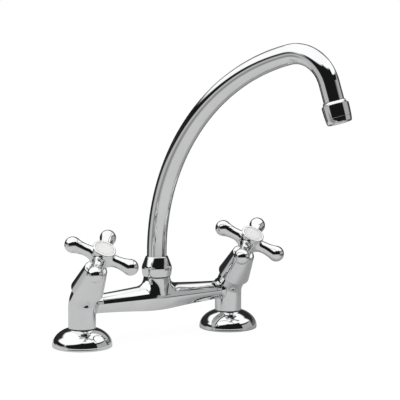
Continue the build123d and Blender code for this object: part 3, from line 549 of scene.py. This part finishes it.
def settle(piece: Piece, name: str, sharp: float = 40.0) -> Piece:
    """Put a piece's place into its mesh, clear its slivers, name it and smooth it.

    Args:
        piece: The piece.
        name: Its name.
        sharp: Edges over this angle stay sharp, in degrees.

    Returns:
        The piece.
    """
    pick_up(piece)
    bpy.ops.object.transform_apply()
    open_mesh()
    bpy.ops.mesh.remove_doubles(threshold=SLIVER)
    bpy.ops.mesh.dissolve_degenerate(threshold=SLIVER)
    bpy.ops.mesh.delete_loose()
    bpy.ops.object.mode_set(mode="OBJECT")
    bpy.ops.object.shade_smooth_by_angle(angle=math.radians(sharp))
    piece.name = piece.data.name = name
    clear_bench()
    return piece


def trace(start: Pair, x: float, moves: list[Pair], dot: float) -> Piece:
    """Draw a line of edges beside an upright axis, and stay in edit mode.

    Args:
        start: Radius and height of its first point.
        x: Where the axis stands.
        moves: How far out and up each next point is.
        dot: Size of the face that the first point is merged from.

    Returns:
        The new piece.
    """
    clear_bench()
    bpy.ops.mesh.primitive_plane_add(size=dot, location=(x + start[0], 0, start[1]))
    piece = bpy.context.object
    bpy.ops.object.transform_apply()
    open_mesh()
    bpy.ops.mesh.merge(type="CENTER")
    for out, up in moves:
        bpy.ops.mesh.extrude_vertices_move(TRANSFORM_OT_translate={"value": (out, 0, up)})
    return piece


def turn(profile: list[Pair], x: float = 0.0, steps: int = 96) -> Piece:
    """Turn a closed profile round an upright axis.

    Args:
        profile: Radius and height of each corner, in order.
        x: Where the axis stands.
        steps: Segments of the full turn.

    Returns:
        The closed turned piece.
    """
    moves = [(r1 - r0, z1 - z0) for (r0, z0), (r1, z1) in zip(profile, profile[1:] + profile[:1])]
    piece = trace(profile[0], x, moves, MM)
    bpy.ops.mesh.select_all(action="SELECT")
    bpy.ops.mesh.remove_doubles(threshold=TOUCH)
    bpy.ops.mesh.spin(steps=steps, angle=math.tau, center=(x, 0, 0), axis=(0, 0, 1))
    bpy.ops.mesh.select_all(action="SELECT")
    bpy.ops.mesh.remove_doubles(threshold=2 * TOUCH)
    close_mesh()
    return piece


def plug(radius: float, low: float, high: float) -> Piece:
    """Plain round solid on the middle axis, to join or to cut with."""
    return turn([(0, low), (radius, low), (radius, high), (0, high)])


def lay_down(piece: Piece, height: float) -> None:
    """Lay the upright piece that was just turned along +X, at a height."""
    piece.rotation_euler.y, piece.location.z = math.pi / 2, height
    bpy.ops.object.transform_apply()


def modify(piece: Piece, kind: str, **settings: object) -> None:
    """Add a modifier and apply it.

    Args:
        piece: The piece.
        kind: Blender's modifier type.
        **settings: The modifier's settings.
    """
    pick_up(piece)
    modifier = piece.modifiers.new(kind.lower(), kind)
    for name, value in settings.items():
        setattr(modifier, name, value)
    bpy.ops.object.modifier_apply(modifier=modifier.name)


class Cut(Enum):
    """How one solid works on another."""

    OFF = "DIFFERENCE"
    KEEP = "INTERSECT"
    ADD = "UNION"


def work(piece: Piece, tool: Piece, cut: Cut) -> None:
    """Work on a piece with another solid, and put that away."""
    modify(piece, "BOOLEAN", object=tool, operation=cut.value, solver="EXACT")
    bpy.data.objects.remove(tool)


def take_over(piece: Piece, body: str, finish: Finish, *nodes: str) -> None:
    """Give a piece its finish and its body, and hide the nodes that it replaces.

    Args:
        piece: The piece.
        body: The body that it rides on.
        finish: Its finish.
        *nodes: The nodes that it replaces.
    """
    piece.data.materials.clear()
    piece.data.materials.append(finish.make())
    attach(piece, body)
    if nodes:
        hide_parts(*nodes)
    log.info("%s: %d faces, %s", piece.name, len(piece.data.polygons), finish.name)


@dataclass
class Thread:
    """Pipe thread that winds up an upright axis.

    The flat is a share of the pitch. The lead-in is how many pitches under its cut end a rod
    starts, so that the cut misses the corners of the thread.
    """

    crest: float
    depth: float = 1.0 * MM
    pitch: float = 1.814 * MM
    flat: float = 0.12
    steps: int = 48
    lead_in: float = 1.37

    def rod(self, x: float, bottom: float, top: float) -> Piece:
        """Threaded rod, closed at both ends.

        Args:
            x: Where its axis stands.
            bottom: Height of its lower end.
            top: Height of its upper end.

        Returns:
            The rod.
        """
        turns = math.ceil((top - bottom) / self.pitch) + 2
        root, crest, half = self.crest - self.depth, self.crest, self.flat / 2
        rises = ((root, 0.0), (root, self.flat), (crest, 0.5 - half), (crest, 0.5 + half), (root, 1.0))
        moves = [(r1 - r0, (z1 - z0) * self.pitch) for (r0, z0), (r1, z1) in zip(rises, rises[1:])]
        rod = trace((root, 0.0), 0.0, moves, 0.01 * MM)
        bpy.ops.object.mode_set(mode="OBJECT")
        modify(
            rod, "SCREW", angle=math.tau, screw_offset=self.pitch, iterations=turns,
            steps=self.steps, render_steps=self.steps, use_normal_calculate=True,
            use_merge_vertices=True, merge_threshold=TOUCH,
        )
        rod.location = (x, 0, bottom - self.lead_in * self.pitch)
        bpy.ops.object.transform_apply()
        open_mesh()
        bpy.ops.mesh.remove_doubles(threshold=TOUCH)
        for height, above in ((bottom, False), (top, True)):
            bpy.ops.mesh.select_all(action="SELECT")
            bpy.ops.mesh.bisect(
                plane_co=(x, 0, height), plane_no=(0, 0, 1), use_fill=True,
                clear_inner=not above, clear_outer=above,
            )
        close_mesh()
        return rod


SOCKET_THREAD = Thread(12.65 * MM, 0.75 * MM, 1.5 * MM)


# ==== sub-assemblies
class Side(Enum):
    """The two pillars, by where each stands."""

    LEFT = -90.0 * MM
    RIGHT = 90.0 * MM

    def __str__(self) -> str:
        """Word that the names of this side's pieces start with."""
        return self.name.lower()


@dataclass
class Foot:
    """What one pillar stands in and on: domed flange, dark joint ring, threaded tail, washer, backnut."""

    side: Side
    rim_radius: float = 30.48 * MM
    rim_curve: tuple[Pair, ...] = ((0.7, 0.0), (0.3, 0.2), (0.1, 0.6), (0.0, 1.1), (0.0, 1.7))
    rim_height: float = 2.1 * MM
    hole_radius: float = 14.1 * MM
    dome_inset: float = 0.1 * MM
    dome_height: float = 16.4 * MM
    dome_swell: float = 0.70
    wall: float = 1.6 * MM
    tail_radius: float = 10.48 * MM
    bore_radius: float = 7.5 * MM
    tail_top: float = 14.5 * MM
    tail_bottom: float = -52.0 * MM
    relief_top: float = -30.0 * MM
    relief_width: float = 1.0 * MM
    relief_depth: float = 1.1 * MM
    relief_slope: float = 0.3 * MM
    chamfer: float = 1.2 * MM
    washer_top: float = -18.0 * MM
    washer_radius: float = 17.0 * MM
    washer_thickness: float = 2.0 * MM
    washer_play: float = 0.3 * MM
    washer_edge: float = 0.35 * MM
    nut_corner: float = 16.17 * MM
    nut_clear: float = 0.02 * MM
    nut_height: float = 7.0 * MM
    nut_chamfer: float = 1.5 * MM
    nut_slope: float = 30.0
    # Black ring in the joint at the top of the dome, which makes the dark line there.
    joint_ring_inner: float = 14.03 * MM
    joint_ring_outer: float = 14.6 * MM
    joint_ring_sink: float = 0.05 * MM
    joint_ring_rise: float = 0.9 * MM
    joint_ring_edge: float = 0.25 * MM

    @property
    def x(self) -> float:
        """Where its pillar stands."""
        return self.side.value

    def hand_in(self, piece: Piece, name: str, sharp: float, finish: Finish, *nodes: str) -> None:
        """Settle a piece of this side on the base, in place of nodes of this side."""
        settle(piece, f"{self.side}_{name}", sharp)
        take_over(piece, "base", finish, *(f"{self.side}_{node}" for node in nodes))

    def dome(self, inset: float, count: int) -> list[Pair]:
        """Points up the dome.

        Args:
            inset: How far inside the outer surface.
            count: How many points.

        Returns:
            Radius and height of each.
        """
        rise = self.dome_height - inset
        run = self.rim_radius - self.dome_inset - inset - self.hole_radius
        points = []
        for index in range(count):
            share = math.sin(math.pi / 2 * index / (count - 1))
            radius = self.hole_radius + run * (1 - share**2) ** self.dome_swell
            points.append((radius, self.rim_height + rise * share))
        return points

    def make_flange(self) -> None:
        """Domed cover with a rounded rim."""
        profile = [(self.rim_radius - self.wall, 0.0)]
        profile += [(self.rim_radius - inset * MM, height * MM) for inset, height in self.rim_curve]
        profile += self.dome(0.0, 40) + self.dome(self.wall, 14)[::-1]
        self.hand_in(turn(profile, self.x, steps=128), "flange_dome", 35.0, CHROME, "flange")

    def make_tail(self) -> None:
        """Threaded shank: thread, relief and chamfers are cut in one envelope."""
        r, bore, c, s = self.tail_radius + CREST_CLEAR, self.bore_radius, self.chamfer, self.relief_slope
        bottom, top, high = self.tail_bottom, self.tail_top, self.relief_top
        low, waist = high - self.relief_width, r - self.relief_depth
        profile = [(bore, bottom), (r - c, bottom), (r, bottom + c), (r, low - s), (waist, low)]
        profile += [(waist, high), (r, high + s), (r, top - c), (r - c, top), (bore, top)]
        envelope = turn(profile, self.x)
        tail = Thread(self.tail_radius).rod(self.x, bottom - OVER, top + OVER)
        work(tail, envelope, Cut.KEEP)
        self.hand_in(tail, "threaded_tail", 25.0, BRASS, "tail")

    def make_backnut(self) -> None:
        """Six-sided nut with turned corners and a threaded hole."""
        height = self.nut_height
        bottom = self.washer_top - self.washer_thickness - height
        clear_bench()
        bpy.ops.mesh.primitive_cylinder_add(
            vertices=6, radius=self.nut_corner, depth=height, location=(self.x, 0, bottom + height / 2)
        )
        nut = bpy.context.object
        nut.rotation_euler.z = math.pi / 2
        bpy.ops.object.transform_apply()
        far, c, top = self.nut_corner + self.nut_clear, self.nut_chamfer, bottom + height
        slope = c * math.tan(math.radians(self.nut_slope))
        barrel = [(0, bottom), (far - c, bottom), (far, bottom + slope)]
        barrel += [(far, top - slope), (far - c, top), (0, top)]
        work(nut, turn(barrel, self.x), Cut.KEEP)
        hole = Thread(self.tail_radius + THREAD_PLAY).rod(self.x, bottom - OVER, top + OVER)
        work(nut, hole, Cut.OFF)
        self.hand_in(nut, "hex_backnut", 25.0, BRASS, "backnut")

    def make_washer(self) -> None:
        """Pressed washer with rolled edges."""
        inner, outer, top = self.tail_radius + self.washer_play, self.washer_radius, self.washer_top
        low, e = top - self.washer_thickness, self.washer_edge
        profile = [(inner, low + e), (inner + e, low), (outer - 2 * e, low), (outer - e / 2, low + e / 2)]
        profile += [(outer, low + 2 * e), (outer, top - e), (outer - e, top)]
        profile += [(inner + e, top), (inner, top - e)]
        self.hand_in(turn(profile, self.x), "pressed_washer", 50.0, STEEL, "deck_washer")

    def make_joint_ring(self) -> None:
        """Thin black rubber ring in the joint between the dome and the pillar, which shows there as a dark
        line.
        """
        inner, outer, e = self.joint_ring_inner, self.joint_ring_outer, self.joint_ring_edge
        low = self.rim_height + self.dome_height - self.joint_ring_sink
        top = low + self.joint_ring_rise
        profile = [(inner, low), (outer, low), (outer, top - 2 * e), (outer - e, top - e / 3)]
        profile += [(outer - 1.5 * e, top), (inner, top)]
        self.hand_in(turn(profile, self.x, steps=128), "lip_seal", 40.0, RUBBER)

    def build(self) -> None:
        """Make the whole foot."""
        self.make_flange()
        self.make_joint_ring()
        self.make_tail()
        self.make_backnut()
        self.make_washer()


class Casting:
    """Cast piece whose parts flow into each other: roughed out first, then its skin is drawn out."""

    passes: int = 8
    farthest: float = 5.0 * MM
    skin: float = 0.03 * MM
    skin_angle: float = 25.0

    def outside(self, points: Array) -> Array:
        """How far points, one a row, are outside the skin; below nothing inside."""
        raise NotImplementedError

    def left_alone(self, points: Array) -> Array:
        """Which points, one a row, lie on machined faces and stay where they are."""
        raise NotImplementedError

    @staticmethod
    def flow(first: Array, second: Array, reach: Array | float) -> Array:
        """Join two distances, with a fillet where both are small.

        Args:
            first: Distances to one part.
            second: Distances to the other.
            reach: How far the fillet reaches.

        Returns:
            The distances to both together.
        """
        reach = np.maximum(reach, 1e-6 * MM)
        near = np.maximum(reach - np.abs(first - second), 0.0) / reach
        return np.minimum(first, second) - near * near * reach / 4

    def slope(self, points: Array, step: float = 0.02 * MM) -> Array:
        """Way in which the distance grows fastest at each point, longer where it's steeper."""
        tries = [self.outside(points + way) - self.outside(points - way) for way in np.eye(3) * step]
        return np.stack(tries, axis=1) / (2 * step)

    def polish(self, piece: Piece) -> Piece:
        """Shade the drawn-out skin with its true normals, so that it mirrors cleanly.

        Args:
            piece: The finished casting.

        Returns:
            The casting.
        """
        mesh = piece.data
        corners, places = np.empty(len(mesh.loops) * 3), np.empty(len(mesh.vertices) * 3)
        owners = np.empty(len(mesh.loops), dtype=np.int32)
        mesh.corner_normals.foreach_get("vector", corners)
        mesh.vertices.foreach_get("co", places)
        mesh.loops.foreach_get("vertex_index", owners)
        corners, places = corners.reshape(-1, 3), places.reshape(-1, 3)
        true = self.slope(places)
        true /= np.maximum(np.linalg.norm(true, axis=1), 1e-9)[:, None]
        cast = (np.abs(self.outside(places)) < self.skin)[owners]
        cast &= (true[owners] * corners).sum(axis=1) > math.cos(math.radians(self.skin_angle))
        corners[cast] = true[owners][cast]
        mesh.normals_split_custom_set(corners.tolist())
        return piece

    def draw_out(self, rough: Piece, grain: float) -> None:
        """Remesh the rough casting evenly, and move its skin to the flowing surface.

        Args:
            rough: The rough casting.
            grain: Size of a face.
        """
        modify(rough, "REMESH", mode="VOXEL", voxel_size=grain)
        mesh = rough.data
        start = np.empty(len(mesh.vertices) * 3)
        mesh.vertices.foreach_get("co", start)
        start = start.reshape(-1, 3)
        places = start.copy()
        for _ in range(self.passes):
            slope = self.slope(places)
            steep = np.maximum((slope**2).sum(axis=1), 0.1)
            places -= slope * (self.outside(places) / steep)[:, None]
        stays = self.left_alone(start) | (np.linalg.norm(places - start, axis=1) > self.farthest)
        places[stays] = start[stays]
        mesh.vertices.foreach_set("co", places.ravel())
        mesh.update()


@dataclass
class Bridge(Casting):
    """Cast cross tube whose shoulders flow into the upright boss in the middle."""

    axis: float = 41.8 * MM
    half: float = 70.0 * MM
    end_radius: float = 9.8 * MM
    shoulder: float = 18.0 * MM
    shoulder_radius: float = 13.3 * MM
    middle_radius: float = 14.07 * MM
    sag: float = 0.25 * MM
    boss_radius: float = 13.8 * MM
    boss_top: float = 63.3 * MM
    socket_radius: float = 10.3 * MM
    socket_floor: float = 50.0 * MM
    socket_top: float = 72.0 * MM
    socket_chamfer: float = 0.8 * MM
    spigot_root: float = 2.0 * MM
    fillet: float = 9.5 * MM
    fillet_start: float = 4.0 * MM
    machined: float = 0.8 * MM
    grain: float = 0.7 * MM

    def radius(self, across: Array) -> Array:
        """Radius of the cross tube.

        Args:
            across: Distances from the middle.

        Returns:
            The radii.
        """
        fall = self.middle_radius - self.shoulder_radius
        middle = self.middle_radius - fall * (across / self.shoulder) ** 2
        share = np.clip((across - self.shoulder) / (self.half - self.shoulder), 0.0, 1.0)
        taper = self.shoulder_radius + (self.end_radius - self.shoulder_radius) * share
        return np.where(across < self.shoulder, middle, taper - 4 * self.sag * share * (1 - share))

    def outside(self, points: Array) -> Array:
        """Distances to the tube and the boss; the fillet dies out where both run the same way.

        Args:
            points: One point a row.

        Returns:
            One distance a point.
        """
        x, y, z = points[:, 0], points[:, 1], points[:, 2] - self.axis
        ring = np.maximum(np.hypot(y, z), 1e-9)
        stand = np.maximum(np.hypot(x, y), 1e-9)
        tube = ring - self.radius(np.abs(x))
        boss = np.where(z > 0, stand - self.boss_radius, 1.0)
        along = y * y / (ring * stand)
        reach = self.fillet * (1 - along**2) * np.clip(z / self.fillet_start, 0.0, 1.0)
        return self.flow(tube, boss, reach)

    def left_alone(self, points: Array) -> Array:
        """The two ends and the top of the boss."""
        ends = np.abs(points[:, 0]) > self.half - self.machined
        return ends | (points[:, 2] > self.boss_top - self.machined)

    def build(self) -> None:
        """Rough out the casting, draw its skin out, and add its threaded spigot and its socket."""
        places = np.linspace(-self.half, self.half, 25)
        outline = zip(self.radius(np.abs(places)).tolist(), places.tolist())
        casting = turn([(0.0, -self.half), *outline, (0.0, self.half)], steps=64)
        lay_down(casting, self.axis)
        work(casting, plug(self.boss_radius, self.axis, self.boss_top), Cut.ADD)
        self.draw_out(casting, self.grain)
        r, c = SOCKET_THREAD.crest + CREST_CLEAR, self.socket_chamfer
        low, top = self.boss_top - self.spigot_root, self.socket_top
        spigot = SOCKET_THREAD.rod(0, low - OVER, top + OVER)
        work(spigot, turn([(0, low), (r, low), (r, top - c), (r - c, top), (0, top)]), Cut.KEEP)
        work(casting, spigot, Cut.ADD)
        work(casting, plug(self.socket_radius, self.socket_floor, top + 2 * OVER), Cut.OFF)
        casting = self.polish(settle(casting, "bridge_casting", sharp=35.0))
        take_over(casting, "base", CHROME, "bridge")


@dataclass
class SpoutNut:
    """Smooth round nut that holds the spout down: undercut foot, curved belly, steep cone and lip."""

    foot: float = 63.4 * MM
    top: float = 84.28 * MM
    roof: float = 76.2 * MM
    hole_radius: float = 10.45 * MM
    hole_edge: float = 0.2 * MM
    cavity_radius: float = 12.8 * MM
    cavity_low: float = 73.0 * MM
    thread_over: float = 0.3 * MM
    undercut_radius: float = 13.35 * MM
    undercut: float = 0.75 * MM
    shade_mask_in: float = 0.1 * MM
    shade_mask_up: float = 0.02 * MM
    foot_radius: float = 14.6 * MM
    foot_curve: tuple[Pair, ...] = ((0.35, 0.0), (0.1, 0.08))
    foot_edge: float = 0.3 * MM
    belly_radius: float = 15.5 * MM
    belly_height: float = 72.3 * MM
    shoulder: float = 8.0 * MM
    cone: float = 21.0
    lip: float = 0.9 * MM

    def bend(self, centre: Pair, size: float, start: float, end: float, steps: int) -> list[Pair]:
        """Points of a rounding; its normals go from start to end, in degrees over level."""
        angles = np.radians(np.linspace(start, end, steps + 1)).tolist()
        return [(centre[0] + size * math.cos(a), centre[1] + size * math.sin(a)) for a in angles]

    def profile(self) -> list[Pair]:
        """Outline of half its section, round from the foot.

        Returns:
            Radius and height of each corner.
        """
        inner, neck = SOCKET_THREAD.crest - SOCKET_THREAD.depth, self.foot + self.undercut
        slope, lip, belly = math.radians(self.cone), self.lip, self.belly_radius
        points = [(inner, self.foot), (self.undercut_radius, self.foot), (self.undercut_radius, neck)]
        points += [(self.foot_radius - inset * MM, neck + rise * MM) for inset, rise in self.foot_curve]
        start = neck + self.foot_edge
        for share in np.linspace(0, 1, 9).tolist()[:-1]:
            height = start + (self.belly_height - start) * share
            points.append((belly - (belly - self.foot_radius) * (1 - share) ** 2, height))
        points += self.bend((belly - self.shoulder, self.belly_height), self.shoulder, 0.0, self.cone, 12)
        radius, height = points[-1]
        lip_low = self.top - lip
        climb = lip_low + lip * math.sin(slope) - height
        centre = radius - climb * math.tan(slope) - lip * math.cos(slope)
        points += self.bend((centre, lip_low), lip, self.cone, 90.0, 8)
        hole, edge = self.hole_radius, self.hole_edge
        points += [(hole + edge, self.top), (hole, self.top - edge), (hole, self.roof)]
        wide, low = self.cavity_radius, self.cavity_low
        return points + [(wide, self.roof), (wide, low), (inner, low)]

    def build(self) -> None:
        """Turn the nut, cut its thread and give its undercut a dark plate that paints the shade in the
        joint.
        """
        nut = turn(self.profile(), steps=128)
        thread = Thread(SOCKET_THREAD.crest + THREAD_PLAY, SOCKET_THREAD.depth, SOCKET_THREAD.pitch)
        work(nut, thread.rod(0, Bridge.boss_top - 3 * OVER, self.cavity_low + self.thread_over), Cut.OFF)
        take_over(settle(nut, "smooth_nut", sharp=30.0), "base", CHROME, "spout_nut")
        nut.data.materials.append(PAINTED_SHADE_PLATE.make())
        # Faces in the undercut take the dark plate: painted shade under the nut's foot.
        inner, upper = self.undercut_radius - self.shade_mask_in, self.foot + self.undercut + self.shade_mask_up
        for face in nut.data.polygons:
            if math.hypot(face.center.x, face.center.y) > inner and face.center.z < upper:
                face.material_index = 1


@dataclass
class Handle(Casting):
    """Cross handle, made upright round its own axis: a trumpet stem, four ball arms, cap and disc."""

    foot: float = 50.1 * MM
    top: float = 72.75 * MM
    skirt_radius: float = 7.6 * MM
    skirt: float = 5.0 * MM
    waist: float = 0.25 * MM
    waist_length: float = 4.4 * MM
    top_radius: float = 10.8 * MM
    flare: float = 1.6
    arms_height: float = 65.25 * MM
    arm_radius: float = 6.0 * MM
    neck_at: float = 17.0 * MM
    reach: float = 30.5 * MM
    ball_radius: float = 8.25 * MM
    hollow: float = 33.4 * MM
    rough_neck: Pair = (7.6 * MM, 26.8 * MM)
    rough_ball: Triple = (1.24, math.pi / 2 + 0.01, 1.7)
    fillet_over: float = 3.0 * MM
    fillet_under: float = 10.0 * MM
    between_arms: float = 4.0 * MM
    machined: float = 0.6 * MM
    cavity_radius: float = 6.1 * MM
    cavity_top: float = 53.4 * MM
    well_radius: float = 7.5 * MM
    well_depth: float = 2.1 * MM
    cap_radius: float = 11.8 * MM
    cap_thickness: float = 3.2 * MM
    cap_corner: float = 1.1 * MM
    cap_curve: tuple[Pair, ...] = ((0.9, 0.0), (0.2, 0.3), (0.0, 0.9))
    cap_plug: float = 2.0 * MM
    cap_play: float = 0.1 * MM
    lip_play: float = 0.12 * MM
    lip_curve: tuple[Pair, ...] = ((0.45, 0.0), (0.12, 0.14), (0.0, 0.45))
    disc_radius: float = 9.55 * MM
    disc_floor: float = 73.95 * MM
    disc_drop: float = 0.55 * MM
    disc_edge: float = 0.15 * MM
    disc_dome: float = 0.55 * MM
    disc_rings: tuple[float, ...] = (0.93, 0.88, 0.845, 0.825, 0.80, 0.775, 0.755, 0.70)
    groove: tuple[Pair, ...] = ((0.825, 0.26), (0.80, 0.36), (0.775, 0.26))
    grain: float = 0.62 * MM
    tilt: float = 36.4
    elbow_height: float = 44.7 * MM
    turned: Pair = (-38.9, -46.3)

    def stem_radius(self, height: Array) -> Array:
        """Radius of the stem: a waisted skirt that opens into a trumpet.

        Args:
            height: Heights up the axis.

        Returns:
            The radii.
        """
        low = np.clip((height - self.foot) / self.waist_length, 0.0, 1.0)
        open_up = np.clip((height - self.foot - self.skirt) / (self.top - self.foot - self.skirt), 0.0, 1.0)
        spread = self.top_radius - self.skirt_radius
        return self.skirt_radius - 4 * self.waist * low * (1 - low) + spread * open_up**self.flare

    def arm(self, along: Array, off: Array) -> Array:
        """Distances to one arm.

        Args:
            along: Distances out along it.
            off: Distances from its axis.

        Returns:
            The distances.
        """
        turn_in = math.atan2(self.arm_radius + self.hollow, self.reach - self.neck_at)
        join = self.reach - self.ball_radius * math.cos(turn_in)
        past = np.clip(along - self.neck_at, 0.0, join - self.neck_at)
        rise = np.sqrt(self.hollow**2 - past**2)
        neck = (off - (self.arm_radius + self.hollow - rise)) * rise / self.hollow
        ball = np.hypot(along - self.reach, off) - self.ball_radius
        root = np.hypot(along, off) - self.arm_radius
        return np.where(along > join, ball, np.where(along < 0, root, neck))

    def outside(self, points: Array) -> Array:
        """Distances to the stem and the arms, with the wide fillet under the arms.

        Args:
            points: One point a row.

        Returns:
            One distance a point.
        """
        x, y, z = points[:, 0], points[:, 1], points[:, 2]
        rise = z - self.arms_height
        arms = self.arm(x, np.hypot(y, rise))
        for along, across in ((y, x), (-x, y), (-y, x)):
            arms = self.flow(arms, self.arm(along, np.hypot(across, rise)), self.between_arms)
        stem = np.hypot(x, y) - self.stem_radius(z)
        under = np.clip(0.5 - rise / (2 * self.arm_radius), 0.0, 1.0)
        return self.flow(arms, stem, self.fillet_over + (self.fillet_under - self.fillet_over) * under)

    def left_alone(self, points: Array) -> Array:
        """The foot of the skirt and the seat of the cap."""
        level = points[:, 2]
        return (level < self.foot + self.machined) | (level > self.top - self.machined)

    def make_arm(self) -> Piece:
        """One rough arm along +X.

        Returns:
            The arm.
        """
        first, widest, after = self.rough_ball
        angles = np.linspace(first, widest, 3).tolist() + np.linspace(after, math.pi, 14).tolist()
        size = self.ball_radius
        ball = [(size * math.sin(a), self.reach - size * math.cos(a)) for a in angles[:-1]]
        stick = [(0.0, 0.0), (self.arm_radius, 0.0), (self.arm_radius, self.neck_at), self.rough_neck]
        arm = turn([*stick, *ball, (0.0, self.reach + size)], steps=32)
        lay_down(arm, self.arms_height)
        return arm

    def make_cross(self) -> Piece:
        """Stem and arms, with the bores for the clip and the cap.

        Returns:
            The upright cross.
        """
        heights = np.linspace(self.foot, self.top, 16)
        outline = zip(self.stem_radius(heights).tolist(), heights.tolist())
        cross = turn([(0.0, self.foot), *outline, (0.0, self.top)], steps=64)
        for quarter in range(4):
            arm = self.make_arm()
            arm.rotation_euler.z = quarter * math.pi / 2
            bpy.ops.object.transform_apply()
            work(cross, arm, Cut.ADD)
        self.draw_out(cross, self.grain)
        work(cross, plug(self.cavity_radius, self.foot - OVER, self.cavity_top), Cut.OFF)
        work(cross, plug(self.well_radius, self.top - self.well_depth, self.top + OVER), Cut.OFF)
        return self.polish(settle(cross, "cross", sharp=35.0))

    def make_cap(self) -> Piece:
        """Rounded cap with a narrow lip round the disc.

        Returns:
            The upright cap.
        """
        r, low, high, c = self.cap_radius, self.top, self.top + self.cap_thickness, self.cap_corner
        shank, lip = self.well_radius - self.cap_play, self.disc_radius + self.lip_play
        profile = [(0.0, low - self.cap_plug), (shank, low - self.cap_plug), (shank, low)]
        profile += [(r - inset * MM, low + rise * MM) for inset, rise in self.cap_curve]
        for a in np.linspace(math.pi / 2, 0, 9):
            profile.append((r - c + c * math.sin(a), high - c + c * math.cos(a)))
        profile += [(lip + out * MM, high - fall * MM) for out, fall in self.lip_curve]
        return settle(turn([*profile, (lip, self.disc_floor), (0.0, self.disc_floor)]), "cap")

    def make_disc(self) -> Piece:
        """Domed disc with a fine ring groove near its edge.

        Returns:
            The upright disc.
        """
        r, e, groove = self.disc_radius, self.disc_edge, dict(self.groove)
        edge = self.top + self.cap_thickness - self.disc_drop
        profile = [(0.0, self.disc_floor), (r, self.disc_floor), (r, edge - e), (r - e, edge)]
        for share in (*self.disc_rings, 0.6, 0.5, 0.4, 0.3, 0.2, 0.1, 0.0):
            sink = groove.get(share, 0.0) * MM
            profile.append((r * share, edge + self.disc_dome * (1 - share**2) - sink))
        return settle(turn(profile), "disc")

    def build(self) -> None:
        """Make the three pieces once, then set a copy of each on both valves."""
        masters = (
            (self.make_cross(), "cross_handle", CHROME, "handle"),
            (self.make_cap(), "lipped_cap", CHROME, "handle_cap"),
            (self.make_disc(), "domed_disc", ENAMEL, "index"),
        )
        lean = Matrix.Rotation(math.radians(self.tilt), 4, "X")
        for side, turned in zip(Side, self.turned):
            stand = Matrix.Translation((side.value, 0, self.elbow_height)) @ lean
            for master, name, finish, node in masters:
                piece = master.copy()
                piece.data = master.data.copy()
                bpy.context.scene.collection.objects.link(piece)
                piece.data.transform(stand @ Matrix.Rotation(math.radians(turned), 4, "Z"))
                piece.name = piece.data.name = f"{side}_{name}"
                take_over(piece, f"{side}_handle_set", finish, f"{side}_{node}")
        for master, *_ in masters:
            bpy.data.objects.remove(master)


def dress_nodes(frame: dict) -> None:
    """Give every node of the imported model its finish.
    """
    slots = {row["node"]: row["material_slot"] for row in frame["record"]["subparts"]}
    for name, node in frame["nodes"].items():
        finish = FINISHES[slots[name]]
        node.data.materials.clear()
        node.data.materials.append(finish.make())
        log.info("%s: %s", name, finish.name)


def main() -> None:
    logging.basicConfig(level=logging.INFO, format="%(message)s")
    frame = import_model()
    clear_bench()
    dress_nodes(frame)
    for side in Side:
        Foot(side).build()
    Bridge().build()
    SpoutNut().build()
    Handle().build()
    Studio().build()


if __name__ == "__main__":
    main()
